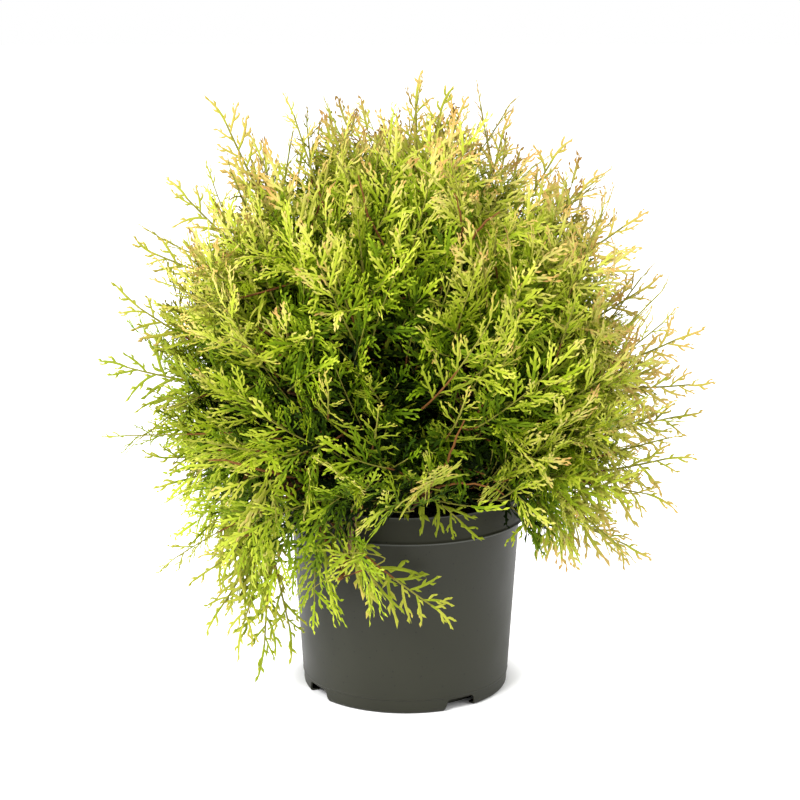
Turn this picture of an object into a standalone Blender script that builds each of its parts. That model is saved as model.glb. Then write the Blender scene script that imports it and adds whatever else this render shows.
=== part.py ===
"""A golden globe thuja in a round plastic nursery pot.

Metres, +Z up.  The origin is on the pot's axis, in the plane that its foot stands on, and -Y is
the front.  The pot holds the soil, the trunk stands on the soil and runs up through the crown,
each bough leaves the trunk, and each mass of foliage has a stem that meets the tip of its bough.
"""
import math
import random
from typing import NamedTuple

import bmesh
import bpy
import numpy as np
from mathutils import Quaternion, Vector

# ---- driving dimensions -------------------------------------------------------------------
GAP = 0.0003                # clearance between two pieces that touch

# Pot: a stepped collar on a tapered body, over a notched foot
POT_HEIGHT = 0.160
COLLAR_RADIUS = 0.095
COLLAR_DEPTH = 0.022
COLLAR_DRAFT = 0.001        # the collar is this much narrower at its lower edge
BODY_TOP_RADIUS = 0.0899
FOOT_RADIUS = 0.0818
FOOT_CORNER = 0.004         # radius of the rounded edge that the pot stands on
FOOT_LIP_RADIUS = 0.0735    # inner edge of the lip turned in under the foot
WALL = 0.0014
EDGE = 0.0006               # rounding of the pot's rim
SKIRT_LINE = 0.0112         # height of the floor's underside and of the line round the foot
SKIRT_STEP = 0.0005
NOTCH_HEIGHT = 0.0092
NOTCH_ANGLE = 22.0
NOTCH_SLANT = 3.0
NOTCH_FIRST = -58.0         # azimuth of the first foot notch; the others follow in quarters
NOTCH_COUNT = 4
DRAIN_RADIUS = 0.0055
DRAIN_CIRCLE = 0.060
POT_SEGMENTS = 36

# Soil: a moist peat fill, a little below the pot's rim
SOIL_TOP = 0.150
SOIL_RELIEF = 0.0022
SOIL_RINGS = (0.078, 0.058, 0.038)
SOIL_LEVEL_RADIUS = 0.018   # level patch that the trunk's foot is cut to

# Trunk: a root flare, a lean to the right that comes back, and a tip inside the topmost mass
TRUNK_FOOT = Vector((0.010, -0.004))
TRUNK_BOW = Vector((0.012, -0.006))
TRUNK_TIP = Vector((0.007, 0.0))
TRUNK_TOP = 0.352
TRUNK_FOOT_RADIUS = 0.0105
TRUNK_RADIUS = 0.0068
TRUNK_TIP_RADIUS = 0.0021
TRUNK_SIDES = 8
TRUNK_STEPS = 9
FLARE_HEIGHT = 0.012
FLARE_LOBES = 3
FLARE_RELIEF = 0.16

# Boughs
BOUGH_SIDES = 5
BOUGH_SHARE = 0.55          # radius at the trunk against the trunk's own
BOUGH_SAG = 0.16            # a bough leaves the trunk flatter and then turns up
BOUGH_STEPS = 4
WEEPING_STEPS = 6

# Crown: a globe with broad shoulders, fuller and flatter below its middle
CROWN_MIDDLE = 0.236
CROWN_RADIUS = 0.187
CROWN_RISE = 0.206
CROWN_DROP = 0.150
SHOULDER = 2.3              # exponents of the outline above and below the middle
UNDERSIDE = 4.0


class Ring(NamedTuple):
    """One tier of masses, and the boughs that carry it."""

    kind: str
    count: int
    radius: float           # of the masses' middles
    height: float
    first_azimuth: float
    bough_radius: float     # distance from the axis at which the boughs end
    bough_low: float        # lowest bough on the trunk, and the height they are spread over
    bough_spread: float
    core: float             # size of the dense cores against the crown's outline


RINGS = (
    Ring("skirt", 7, 0.138, 0.182, 223.5, 0.066, 0.162, 0.030, 0.80),
    Ring("middle", 7, 0.136, 0.256, 186.0, 0.062, 0.206, 0.030, 0.80),
    Ring("upper", 5, 0.100, 0.334, 180.0, 0.042, 0.260, 0.030, 0.82),
)
TOP_MIDDLE = Vector((0.008, 0.0, 0.398))
TOP_CORE = 0.86
TOP_CORE_DROP = 0.014       # the topmost core sits lower than the middle of its space

# Weeping masses: they hang beside the pot from boughs that pass over its rim
WEEPING_BOUGHS = ((197.8, 0.1705), (249.2, 0.1870))    # azimuth, and place on the trunk
WEEPING_RADIUS = 0.140
WEEPING_HEIGHT = 0.106
WEEPING_CORE = Vector((0.018, 0.040, 0.034))           # half-sizes: out, along and up
WEEPING_START = Vector((0.042, 0.0, 0.006))            # controls of the bough: out, and up
WEEPING_BEND = Vector((0.105, 0.0, 0.187))
WEEPING_END = Vector((0.120, 0.0, 0.138))
WEEPING_BOUGH_RADIUS = 0.0034

# The space that each mass keeps to
CELL_MARGIN = 0.0012        # from the plane half-way to its neighbour
LIMB_MARGIN = 0.0015        # cut out of a core round a bough that passes it
SPRAY_MARGIN = 0.0025       # between a spray and a limb
POT_MARGIN = 0.004
GROUND_MARGIN = 0.006
CORE_PAST_BOUGH = 0.003
CORE_OVER_TRUNK = 0.008
CORE_OVER_POT = 0.008
CORE_LUMPS = (0.82, 0.96)   # how far the core's outer corners are drawn in
CORE_TIGHT = 0.985

# Shoots that stand out of the globe: the furthest tips of the crown, left to right
LEADER_TIPS = (
    (-0.231, -0.020, 0.261), (-0.220, -0.010, 0.312), (-0.186, -0.030, 0.166), (-0.179, 0.010, 0.397),
    (-0.150, -0.050, 0.062), (-0.130, 0.150, 0.325), (-0.129, 0.000, 0.452), (-0.110, -0.058, 0.030),
    (-0.030, 0.225, 0.260), (-0.010, -0.118, 0.100), (0.008, 0.000, 0.476), (0.020, -0.224, 0.230),
    (0.032, -0.114, 0.087), (0.045, 0.010, 0.462), (0.080, 0.070, 0.440), (0.110, 0.160, 0.330),
    (0.150, 0.110, 0.150), (0.180, -0.010, 0.374), (0.184, -0.050, 0.118), (0.197, 0.030, 0.316),
    (0.215, -0.050, 0.196), (0.235, -0.012, 0.243),
)

# Sprays: toothed blades on three-sided twigs, one for each fan of scale-leaved branchlets
SPRAY_LENGTH = 0.070
SPRAY_WIDTH = 0.043
SPRAY_THICKNESS = 0.0012
TEETH_LEFT = ((0.50, 0.50), (0.40, 0.11), (0.77, 0.40), (0.69, 0.09))    # tip, notch: along, out
TEETH_RIGHT = ((0.59, 0.48), (0.49, 0.11), (0.86, 0.34), (0.78, 0.08))
MIDRIB = (0.30, 0.58)
MIDRIB_HEIGHTS = (1.02, 0.85)
TWIG_RADIUS = 0.0013
TWIG_END_RADIUS = 0.0009
STEM_RADIUS = 0.0019
STEM_END_RADIUS = 0.0011
STEM_SIDES = 5
STEM_STEPS = 3
STEM_LEAD = 0.020           # a stem keeps its bough's direction for about this far
STEM_FOOT = 0.1             # share of that length in which it is straight
STEM_RISE = {"weeping": -1.0, "top": 0.6}   # its end against the middle of the mass, in leads
GLOBE_SPRAYS = 210          # spread evenly over the globe
WEEPING_SPRAYS = 20         # spread over each weeping core
SIDE_SPRAYS = 3             # on each leader
ROOT_DEPTH = 0.95           # where a spray is rooted, against the core's own size
LEADER_SPRAY = 0.80         # size of a leader's end spray against the others
LEADER_FACE = Vector((0.0, -1.0, 0.25))
LEADER_ARCH = 0.006
SIDE_NECK = 0.010
LEAN = (30.0, 62.0)         # lean of a spray away from the outward direction, degrees
SIDE_ANGLE = (38.0, 62.0)
DRIFT_RISE = 0.8            # how strongly sprays lean up above the middle, and down below it
SPRAY_SPACING = 0.0030      # least distance between two sprays of one mass
TRIES = 24
SEED = 31

# Colours and roughness
POT_PLASTIC = ("pot plastic", (0.058, 0.066, 0.064), 0.52)
PEAT = ("peat", (0.020, 0.014, 0.010), 0.95)
BARK = ("bark", (0.120, 0.060, 0.034), 0.85)
FOLIAGE = {
    "skirt": ("foliage skirt", (0.130, 0.235, 0.030), 0.6),
    "middle": ("foliage middle", (0.205, 0.310, 0.040), 0.6),
    "upper": ("foliage upper", (0.300, 0.370, 0.055), 0.6),
    "top": ("foliage top", (0.420, 0.400, 0.080), 0.6),
    "weeping": ("foliage weeping", (0.240, 0.350, 0.050), 0.6),
}

GOLDEN_ANGLE = math.pi * (3.0 - math.sqrt(5.0))
UP = Vector((0.0, 0.0, 1.0))
CENTRE = UP * CROWN_MIDDLE


# ---- scene and shared helpers -------------------------------------------------------------
def clear_scene():
    for obj in list(bpy.data.objects):
        bpy.data.objects.remove(obj, do_unlink=True)


def paint(obj, finish):
    """Give an object the Principled material of its kind of sub-part."""
    name, colour, roughness = finish
    made = bpy.data.materials.get(name)
    if made is None:
        made = bpy.data.materials.new(name)
        made.use_nodes = True
        shader = made.node_tree.nodes["Principled BSDF"]
        shader.inputs["Base Color"].default_value = (*colour, 1.0)
        shader.inputs["Roughness"].default_value = roughness
        shader.inputs["Metallic"].default_value = 0.0
    obj.data.materials.clear()
    obj.data.materials.append(made)


def add_mesh(name, vertices, faces, collection=None):
    mesh = bpy.data.meshes.new(name)
    mesh.from_pydata([tuple(vertex) for vertex in vertices], [], faces)
    mesh.update()
    return add_object(name, mesh, collection)


def add_object(name, mesh, collection=None):
    obj = bpy.data.objects.new(name, mesh)
    (collection or bpy.context.scene.collection).objects.link(obj)
    return obj


def smooth(obj, angle=40.0):
    obj.data.shade_smooth()
    obj.data.set_sharp_from_angle(angle=math.radians(angle))


def polar(radius, azimuth, height):
    """The point at a radius, an azimuth in degrees from +X, and a height."""
    turn = math.radians(azimuth)
    return Vector((radius * math.cos(turn), radius * math.sin(turn), height))


def across(point):
    """Distance of a point from the pot's axis."""
    return math.hypot(point.x, point.y)


def bezier(points, share):
    """A point on the Bezier curve with these control points."""
    row = list(points)
    while len(row) > 1:
        row = [a.lerp(b, share) for a, b in zip(row, row[1:])]
    return row[0]


def bezier_path(points, steps):
    return [bezier(points, index / steps) for index in range(steps + 1)]


def ramp(start, end, steps):
    return [start + (end - start) * index / steps for index in range(steps + 1)]


def tube(name, path, radii, sides, collection=None):
    """A closed tube through the path's points, with a flat cap square to each end."""
    vertices = []
    for index, point in enumerate(path):
        ahead = path[min(index + 1, len(path) - 1)]
        behind = path[max(index - 1, 0)]
        turn = UP.rotation_difference(ahead - behind)
        for side in range(sides):
            angle = math.tau * side / sides
            ring = Vector((math.cos(angle), math.sin(angle), 0.0)) * radii[index]
            vertices.append(point + turn @ ring)
    return add_mesh(name, vertices, tube_faces(len(path), sides), collection)


def tube_faces(rings, sides):
    """Faces of a tube that is made ring by ring, with a cap at each end."""
    faces = [tuple(reversed(range(sides)))]
    for ring in range(rings - 1):
        low, high = ring * sides, (ring + 1) * sides
        for side in range(sides):
            after = (side + 1) % sides
            faces.append((low + side, low + after, high + after, high + side))
    last = (rings - 1) * sides
    faces.append(tuple(range(last, last + sides)))
    return faces


def cut(obj, cutter):
    """Take the cutter out of the object, and keep the cutter as a wire guide."""
    cutter.display_type = "WIRE"
    cutter.hide_render = True
    modifier = obj.modifiers.new(cutter.name, "BOOLEAN")
    modifier.operation = "DIFFERENCE"
    modifier.solver = "EXACT"
    modifier.object = cutter


# ---- pot ------------------------------------------------------------------------------------
def body_radius(height):
    """Outer radius of the pot's tapered body."""
    share = (height - SKIRT_LINE) / (POT_HEIGHT - COLLAR_DEPTH - SKIRT_LINE)
    return FOOT_RADIUS + (BODY_TOP_RADIUS - FOOT_RADIUS) * share


def pot_profile():
    """Outline of the pot's wall: from the middle of the floor up inside, and down outside."""
    collar_low = POT_HEIGHT - COLLAR_DEPTH
    floor_top = SKIRT_LINE + WALL
    inside = [
        (0.0, floor_top),
        (body_radius(floor_top) - WALL, floor_top),
        (body_radius(collar_low) - WALL, collar_low - WALL),
        (COLLAR_RADIUS - COLLAR_DRAFT - WALL, collar_low + WALL),
        (COLLAR_RADIUS - WALL, POT_HEIGHT - EDGE),
    ]
    outside = [
        (COLLAR_RADIUS - WALL / 2.0, POT_HEIGHT),
        (COLLAR_RADIUS, POT_HEIGHT - EDGE),
        (COLLAR_RADIUS - COLLAR_DRAFT, collar_low),
        (body_radius(collar_low), collar_low),
        (body_radius(SKIRT_LINE), SKIRT_LINE),
        (FOOT_RADIUS - SKIRT_STEP, SKIRT_LINE - SKIRT_STEP),
    ]
    corner_radius = FOOT_RADIUS - SKIRT_STEP - FOOT_CORNER
    corner = []
    for step in range(4):
        turn = math.radians(-30.0 * step)
        height = FOOT_CORNER * (1.0 + math.sin(turn))
        corner.append((corner_radius + FOOT_CORNER * math.cos(turn), height))
    under = [
        (FOOT_LIP_RADIUS, 0.0),
        (FOOT_LIP_RADIUS, WALL),
        (corner_radius + FOOT_CORNER - WALL * 1.7, FOOT_CORNER),
        (corner_radius + FOOT_CORNER - WALL, SKIRT_LINE),
        (0.0, SKIRT_LINE),
    ]
    return inside + outside + corner + under


def revolve(name, profile, segments):
    """Turn a profile that starts and ends on the axis into a closed solid."""
    vertices = [UP * profile[0][1]]
    for radius, height in profile[1:-1]:
        vertices += [polar(radius, 360.0 * step / segments, height) for step in range(segments)]
    vertices.append(UP * profile[-1][1])
    end = len(vertices) - 1
    last = end - segments
    faces = []
    for step in range(segments):
        after = (step + 1) % segments
        faces.append((0, 1 + step, 1 + after))
        for low in range(1, last, segments):
            high = low + segments
            faces.append((low + step, high + step, high + after, low + after))
        faces.append((end, last + after, last + step))
    return add_mesh(name, vertices, faces)


def notch_cutter(azimuth):
    """A wedge with slanted sides that opens the foot's lip under the floor."""
    reach = FOOT_CORNER
    half_low = math.tan(math.radians(NOTCH_ANGLE / 2.0))
    half_high = math.tan(math.radians(NOTCH_ANGLE / 2.0 - NOTCH_SLANT))
    vertices = []
    for radius in (FOOT_LIP_RADIUS - reach, FOOT_RADIUS + reach):
        for height, half in ((-reach, half_low), (NOTCH_HEIGHT, half_high)):
            vertices += [Vector((radius, sign * radius * half, height)) for sign in (-1.0, 1.0)]
    faces = [(0, 2, 3, 1), (4, 5, 7, 6), (0, 1, 5, 4), (2, 6, 7, 3), (0, 4, 6, 2), (1, 3, 7, 5)]
    cutter = add_mesh("notch_cutter", vertices, faces)
    cutter.rotation_euler.z = math.radians(azimuth)
    return cutter


def drain_cutter(azimuth):
    """A round hole through the floor."""
    middle = SKIRT_LINE + WALL / 2.0
    ends = [polar(DRAIN_CIRCLE, azimuth, height) for height in (middle - WALL * 2.0, middle + WALL * 2.0)]
    return tube("drain_cutter", ends, [DRAIN_RADIUS] * 2, 10)


def make_pot():
    pot = revolve("pot", pot_profile(), POT_SEGMENTS)
    for index in range(NOTCH_COUNT):
        azimuth = NOTCH_FIRST + 360.0 * index / NOTCH_COUNT
        cut(pot, notch_cutter(azimuth))
        cut(pot, drain_cutter(azimuth))
    smooth(pot, 30.0)
    paint(pot, POT_PLASTIC)


# ---- soil -----------------------------------------------------------------------------------
def soil_rings():
    """Radius, height and relief of each ring of the soil, from its base up and in to the trunk."""
    collar_low = POT_HEIGHT - COLLAR_DEPTH
    base = SKIRT_LINE + WALL + GAP
    collar = COLLAR_RADIUS - COLLAR_DRAFT - WALL - GAP
    rings = [
        (body_radius(base) - WALL - GAP, base, 0.0),
        (body_radius(collar_low) - WALL - GAP, collar_low - WALL, 0.0),
        (collar, collar_low + WALL + GAP * 3.0, 0.0),
        (collar, SOIL_TOP, SOIL_RELIEF),
    ]
    return rings + [(radius, SOIL_TOP, SOIL_RELIEF) for radius in SOIL_RINGS]


def make_soil():
    """The fill: the pot's inside, a gap smaller, with a crumbly top that is level at the trunk."""
    rng = random.Random(SEED)
    segments = POT_SEGMENTS // 2
    turns = [360.0 * step / segments for step in range(segments)]
    vertices = []
    for radius, height, relief in soil_rings():
        vertices += [polar(radius, turn, height + relief * rng.uniform(-1.0, 0.2)) for turn in turns]
    foot = Vector((TRUNK_FOOT.x, TRUNK_FOOT.y, 0.0))
    vertices += [foot + polar(SOIL_LEVEL_RADIUS, turn, SOIL_TOP) for turn in turns]
    soil = add_mesh("soil", vertices, tube_faces(len(vertices) // segments, segments))
    smooth(soil, 60.0)
    paint(soil, PEAT)


# ---- trunk and boughs -------------------------------------------------------------------------
def trunk_point(height):
    """Middle of the trunk at a height."""
    share = (height - SOIL_TOP) / (TRUNK_TOP - SOIL_TOP)
    bow = TRUNK_BOW * math.sin(math.pi * share)
    place = TRUNK_FOOT.lerp(TRUNK_TIP, share) + bow
    return Vector((place.x, place.y, height))


def trunk_radius(height):
    """Radius of the trunk at a height, with the root flare at its foot."""
    share = (height - SOIL_TOP) / (TRUNK_TOP - SOIL_TOP)
    flare = max(0.0, 1.0 - (height - SOIL_TOP) / FLARE_HEIGHT)
    taper = TRUNK_RADIUS + (TRUNK_TIP_RADIUS - TRUNK_RADIUS) * share
    return taper + (TRUNK_FOOT_RADIUS - TRUNK_RADIUS) * flare * flare


def trunk_heights():
    flare_middle = SOIL_TOP + FLARE_HEIGHT * 0.4
    return [SOIL_TOP + GAP, flare_middle] + ramp(SOIL_TOP + FLARE_HEIGHT, TRUNK_TOP, TRUNK_STEPS)


def trunk_tube(name, margin):
    """The trunk, or the same shape a margin larger: level rings with a lobed flare at the foot."""
    vertices = []
    for height in trunk_heights():
        lobes = FLARE_RELIEF * max(0.0, 1.0 - (height - SOIL_TOP) / FLARE_HEIGHT)
        for side in range(TRUNK_SIDES):
            turn = 360.0 * side / TRUNK_SIDES
            swell = 1.0 + lobes * math.cos(math.radians(FLARE_LOBES * turn))
            radius = trunk_radius(height) * swell + margin
            vertices.append(trunk_point(height) + polar(radius, turn, 0.0))
    return add_mesh(name, vertices, tube_faces(len(vertices) // TRUNK_SIDES, TRUNK_SIDES))


def make_trunk():
    trunk = trunk_tube("trunk", 0.0)
    smooth(trunk)
    paint(trunk, BARK)


class Mass:
    """One mass of foliage: its middle, the bough that carries it and the space that it keeps to."""

    def __init__(self, name, kind, middle, bough, bough_radius, core):
        self.name = name
        self.kind = kind
        self.middle = middle
        self.bough = bough
        self.bough_radius = bough_radius
        self.core = core
        self.planes = []
        self.leaders = []
        self.sprays = []

    def away(self):
        """Level direction from the pot's axis to this mass."""
        return Vector((self.middle.x, self.middle.y, 0.0)).normalized()

    def bough_path(self):
        steps = WEEPING_STEPS if self.kind == "weeping" else BOUGH_STEPS
        return bezier_path(self.bough, steps)

    def heading(self):
        """The way that the bough's flat end faces; the trunk's is level."""
        if self.kind == "top":
            return UP
        path = self.bough_path()
        return (path[-1] - path[-2]).normalized()


def ring_masses(ring):
    """The masses of one tier; neighbours' boughs leave the trunk at heights well apart."""
    masses = []
    for index in range(ring.count):
        middle = polar(ring.radius, ring.first_azimuth + 360.0 * index / ring.count, ring.height)
        level = index * (ring.count // 2) % ring.count
        start = trunk_point(ring.bough_low + ring.bough_spread * level / ring.count)
        share = ring.bough_radius / ring.radius
        end = Vector((middle.x * share, middle.y * share, start.z + (middle.z - start.z) * (share + 0.05)))
        bend = start.lerp(end, 0.5) - UP * (end.z - start.z) * BOUGH_SAG
        bough_radius = trunk_radius(start.z) * BOUGH_SHARE
        name = f"{ring.kind}_{index + 1}"
        masses.append(Mass(name, ring.kind, middle, [start, bend, end], bough_radius, ring.core))
    return masses


def weeping_masses():
    """The masses that hang beside the pot; their boughs pass over its rim."""
    masses = []
    for index, (azimuth, place) in enumerate(WEEPING_BOUGHS):
        bough = [
            trunk_point(place),
            polar(WEEPING_START.x, azimuth, place + WEEPING_START.z),
            polar(WEEPING_BEND.x, azimuth, WEEPING_BEND.z),
            polar(WEEPING_END.x, azimuth, WEEPING_END.z),
        ]
        middle = polar(WEEPING_RADIUS, azimuth, WEEPING_HEIGHT)
        masses.append(Mass(f"weeping_{index + 1}", "weeping", middle, bough, WEEPING_BOUGH_RADIUS, 0.0))
    return masses


def crown_masses():
    """All masses, from the pot's rim to the top, which the trunk's tip carries."""
    masses = [mass for ring in RINGS for mass in ring_masses(ring)] + weeping_masses()
    trunk_end = [trunk_point(height) for height in trunk_heights()[-2:]]
    return masses + [Mass("top", "top", TOP_MIDDLE, trunk_end, 0.0, TOP_CORE)]


def make_bough(mass, clearance):
    """One tapering limb from inside the trunk, with its foot cut to the trunk's surface."""
    path = mass.bough_path()
    bough = tube(f"bough_{mass.name}", path, ramp(mass.bough_radius, STEM_RADIUS, len(path) - 1), BOUGH_SIDES)
    cut(bough, clearance)
    smooth(bough)
    paint(bough, BARK)


# ---- the spaces that the masses keep to -----------------------------------------------------------
def crown_share(point):
    """Less than 1 inside the crown's outline, 1 on it."""
    above = point.z - CROWN_MIDDLE
    if above > 0.0:
        return (across(point) / CROWN_RADIUS) ** SHOULDER + (above / CROWN_RISE) ** SHOULDER
    return (across(point) / CROWN_RADIUS) ** 2 + (-above / CROWN_DROP) ** UNDERSIDE


def reach_to_outline(start, direction, furthest, size):
    """How far a ray runs inside the crown's outline drawn at a size, by halving."""
    low, high = 0.0, furthest
    for _ in range(24):
        half = (low + high) / 2.0
        if crown_share(CENTRE.lerp(start + direction * half, 1.0 / size)) < 1.0:
            low = half
        else:
            high = half
    return low


def crown_point(direction, size=1.0):
    """The point on the crown's outline drawn at a size, in a direction from its centre."""
    return CENTRE + direction * reach_to_outline(CENTRE, direction, 2.0 * CROWN_RADIUS, size)


def outward(point):
    """The way out of the crown at a point."""
    sized = Vector((CROWN_RADIUS, CROWN_RADIUS, CROWN_RISE))
    return Vector(a / b for a, b in zip(point - CENTRE, sized)).normalized()


def set_planes(masses):
    """Bound each mass by the planes half-way to the others."""
    for mass in masses:
        for other in masses:
            if other is not mass:
                normal = (other.middle - mass.middle).normalized()
                offset = normal.dot((other.middle + mass.middle) / 2.0) - CELL_MARGIN
                mass.planes.append((normal, offset))


def core_planes(mass):
    """The planes of a mass, and those that keep its core off the trunk and the pot's rim."""
    if mass.kind == "top":
        return mass.planes + [(-UP, -(TRUNK_TOP + CORE_OVER_TRUNK))]
    planes = mass.planes + [(-mass.away(), -mass.away().dot(mass.bough[-1]) - CORE_PAST_BOUGH)]
    if mass.kind == "skirt":
        planes.append((-UP, -(POT_HEIGHT + CORE_OVER_POT)))
    return planes


class Limbs:
    """The trunk and the boughs as straight lengths, for measuring how near a point is."""

    def __init__(self, masses):
        heights = trunk_heights()
        lengths = [(trunk_point(a), trunk_point(b), trunk_radius(a)) for a, b in zip(heights, heights[1:])]
        for mass in masses:
            if mass.kind != "top":
                path = mass.bough_path()
                lengths += [(a, b, mass.bough_radius) for a, b in zip(path, path[1:])]
        self.starts = np.array([start for start, _, _ in lengths])
        self.runs = np.array([end - start for start, end, _ in lengths])
        self.radii = np.array([radius for _, _, radius in lengths])

    def clearance(self, grid):
        """Smallest distance from any of the points to the surface of any limb."""
        offsets = grid[:, None, :] - self.starts[None, :, :]
        shares = (offsets * self.runs).sum(axis=2) / (self.runs ** 2).sum(axis=1)
        apart = offsets - np.clip(shares, 0.0, 1.0)[:, :, None] * self.runs
        return float((np.sqrt((apart ** 2).sum(axis=2)) - self.radii).min())


def fits(mass, points, limbs):
    """True where the points keep to the mass's space and off the pot, the ground and the limbs."""
    grid = np.asarray(points)
    for normal, offset in mass.planes:
        if (grid @ np.array(normal)).max() > offset:
            return False
    beside = np.hypot(grid[:, 0], grid[:, 1]) > COLLAR_RADIUS + POT_MARGIN
    above = grid[:, 2] > POT_HEIGHT + POT_MARGIN
    if not np.all(beside | above) or grid[:, 2].min() < GROUND_MARGIN:
        return False
    return limbs.clearance(grid) > SPRAY_MARGIN


def spaced(points, taken):
    """True where no point is near the sprays that the mass already has."""
    if not taken:
        return True
    grid = np.asarray(points)
    others = np.concatenate(taken)
    nearest = ((grid[:, None, :] - others[None, :, :]) ** 2).sum(axis=2).min()
    return nearest > SPRAY_SPACING ** 2


# ---- cores --------------------------------------------------------------------------------------------
def core_offset(mass, direction):
    """From the middle of a weeping core to its surface."""
    along = UP.cross(mass.away()) * direction.y * WEEPING_CORE.y
    return mass.away() * direction.x * WEEPING_CORE.x + along + UP * direction.z * WEEPING_CORE.z


def core_corner(mass, middle, planes, direction):
    """From the core's middle to its surface in a direction: the nearest plane, or the outline."""
    if mass.kind == "weeping":
        return core_offset(mass, direction)
    reach = CROWN_RADIUS
    for normal, offset in planes:
        closing = normal.dot(direction)
        if closing > 0.0:
            reach = min(reach, (offset - normal.dot(middle)) / closing)
    return direction * reach_to_outline(middle, direction, reach, mass.core)


def core_object(mass, rng):
    """The dense inside of a mass: a solid that fills its space, with a lumpy outer side."""
    turn = Quaternion([rng.gauss(0.0, 1.0) for _ in range(4)]).normalized()
    middle = mass.middle - UP * TOP_CORE_DROP if mass.kind == "top" else mass.middle.copy()
    facing = outward(mass.middle)
    planes = core_planes(mass)
    bm = bmesh.new()
    bmesh.ops.create_icosphere(bm, subdivisions=2, radius=1.0, matrix=turn.to_matrix().to_4x4())
    for index, vertex in enumerate(bm.verts):
        direction = vertex.co.normalized()
        lumpy = index % 4 and direction.dot(facing) > 0.35
        size = rng.uniform(*CORE_LUMPS) if lumpy else CORE_TIGHT
        vertex.co = middle + core_corner(mass, middle, planes, direction) * size
    mesh = bpy.data.meshes.new("core")
    bm.to_mesh(mesh)
    bm.free()
    return add_object("core", mesh)


def clear_limb(core, bearer):
    """Cut a core clear of the bough that passes it on its way to another mass."""
    path = bearer.bough_path()
    cutter = tube("limb_clearance", path, [bearer.bough_radius + LIMB_MARGIN] * len(path), BOUGH_SIDES)
    cut(core, cutter)
    core.modifiers[0].solver = "MANIFOLD"
    cleared = evaluated_mesh(core)
    core.modifiers.clear()
    core.data = cleared
    bpy.data.objects.remove(cutter, do_unlink=True)


def evaluated_mesh(obj):
    bpy.context.view_layer.update()
    return bpy.data.meshes.new_from_object(obj.evaluated_get(bpy.context.evaluated_depsgraph_get()))


# ---- shoots: a twig that flattens into a blade ----------------------------------------------------------
class Shoot(NamedTuple):
    """Corners of a shoot: rings of its three-sided twig, then midrib, left, right and tip."""

    rings: list
    midrib: list
    left: list
    right: list
    tip: Vector


def facing_frame(direction, face):
    """The blade's normal, nearest to face, and its left side."""
    normal = (face - direction * face.dot(direction) / direction.length_squared).normalized()
    return normal, normal.cross(direction.normalized())


def shape_shoot(path, direction, face, size):
    """A shoot with its twig along the path and a blade of a size against SPRAY_LENGTH at its end."""
    rings = []
    radii = ramp(TWIG_RADIUS, TWIG_END_RADIUS, len(path) - 1)
    for index, (point, radius) in enumerate(zip(path, radii)):
        run = path[index + 1] - point if index + 1 < len(path) else direction
        normal, side = facing_frame(run, face)
        base = point - normal * radius / 2.0
        rings.append([base + side * radius * 0.87, base - side * radius * 0.87, point + normal * radius])
    normal, side = facing_frame(direction, face)
    root = path[-1] - normal * TWIG_END_RADIUS / 2.0
    along = direction * SPRAY_LENGTH * size
    out = side * SPRAY_WIDTH * size
    fold = [normal * SPRAY_THICKNESS * height for height in MIDRIB_HEIGHTS]
    rib = [root + along * share + rise for share, rise in zip(MIDRIB, fold)]
    left = [root + along * share + out * width for share, width in TEETH_LEFT]
    right = [root + along * share - out * width for share, width in TEETH_RIGHT]
    return Shoot(rings, rib, left, right, root + along)


def shoot_object(shoot, collection):
    """A closed mesh of the shoot: flat below, and folded along the midrib above."""
    twig = [corner for ring in shoot.rings for corner in ring]
    vertices = twig + shoot.midrib + shoot.left + shoot.right + [shoot.tip]
    top = len(twig) - 1
    ribs = [top, len(twig), len(twig) + 1]
    teeth = len(twig) + len(shoot.midrib)
    left = [top - 2] + [teeth + index for index in range(4)]
    right = [top - 1] + [teeth + 4 + index for index in range(4)]
    end = len(vertices) - 1
    faces = [(0, 1, 2)]
    for low in range(0, len(twig) - 3, 3):
        high = low + 3
        faces += [(low + a, low + b, high + b, high + a) for a, b in ((1, 0), (2, 1), (0, 2))]
    for row in (right, left):
        fan = [
            (ribs[0], row[0], ribs[1]), (ribs[1], row[0], row[1]), (ribs[1], row[1], row[2]),
            (ribs[1], row[2], ribs[2]), (ribs[2], row[2], row[3]), (ribs[2], row[3], row[4]),
            (ribs[2], row[4], end),
        ]
        faces += fan if row is right else [face[::-1] for face in fan]
    faces.append(tuple(left + [end] + right[::-1]))
    return add_mesh("shoot", vertices, faces, collection)


def shoot_samples(shoot):
    """Points over a shoot's twig and over its blade, close together, to test it with."""
    outline = [shoot.rings[-1][0], *shoot.left, shoot.tip, *shoot.right[::-1], shoot.rings[-1][1]]
    twig, blade = [], []
    for ring, after in zip(shoot.rings[1:-1], shoot.rings[2:]):
        twig += [ring[0].lerp(after[0], step / 6.0) for step in range(6)]
    for a, b in zip(outline, outline[1:]):
        blade += [a.lerp(b, step / 5.0) for step in range(1, 6)]
    for corner in outline[1:-1]:
        blade += [shoot.midrib[0].lerp(corner, step / 4.0) for step in range(4)]
    return twig, blade[3:-3]


# ---- growth: where the shoots of a mass go ---------------------------------------------------------------
def noise(rng):
    return Vector((rng.gauss(0.0, 1.0), rng.gauss(0.0, 1.0), rng.gauss(0.0, 1.0)))


def tilted(vector, amount, rng):
    """The vector's direction, turned a little at random."""
    return (vector.normalized() + noise(rng) * amount).normalized()


def stem_curve(mass):
    """Control points of the mass's stem, from just past the limb's tip into the mass."""
    start = mass.bough[-1] + mass.heading() * GAP
    end = mass.middle + UP * STEM_LEAD * STEM_RISE.get(mass.kind, 0.0)
    return [start, start + mass.heading() * STEM_LEAD, start.lerp(end, 0.9)]


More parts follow.
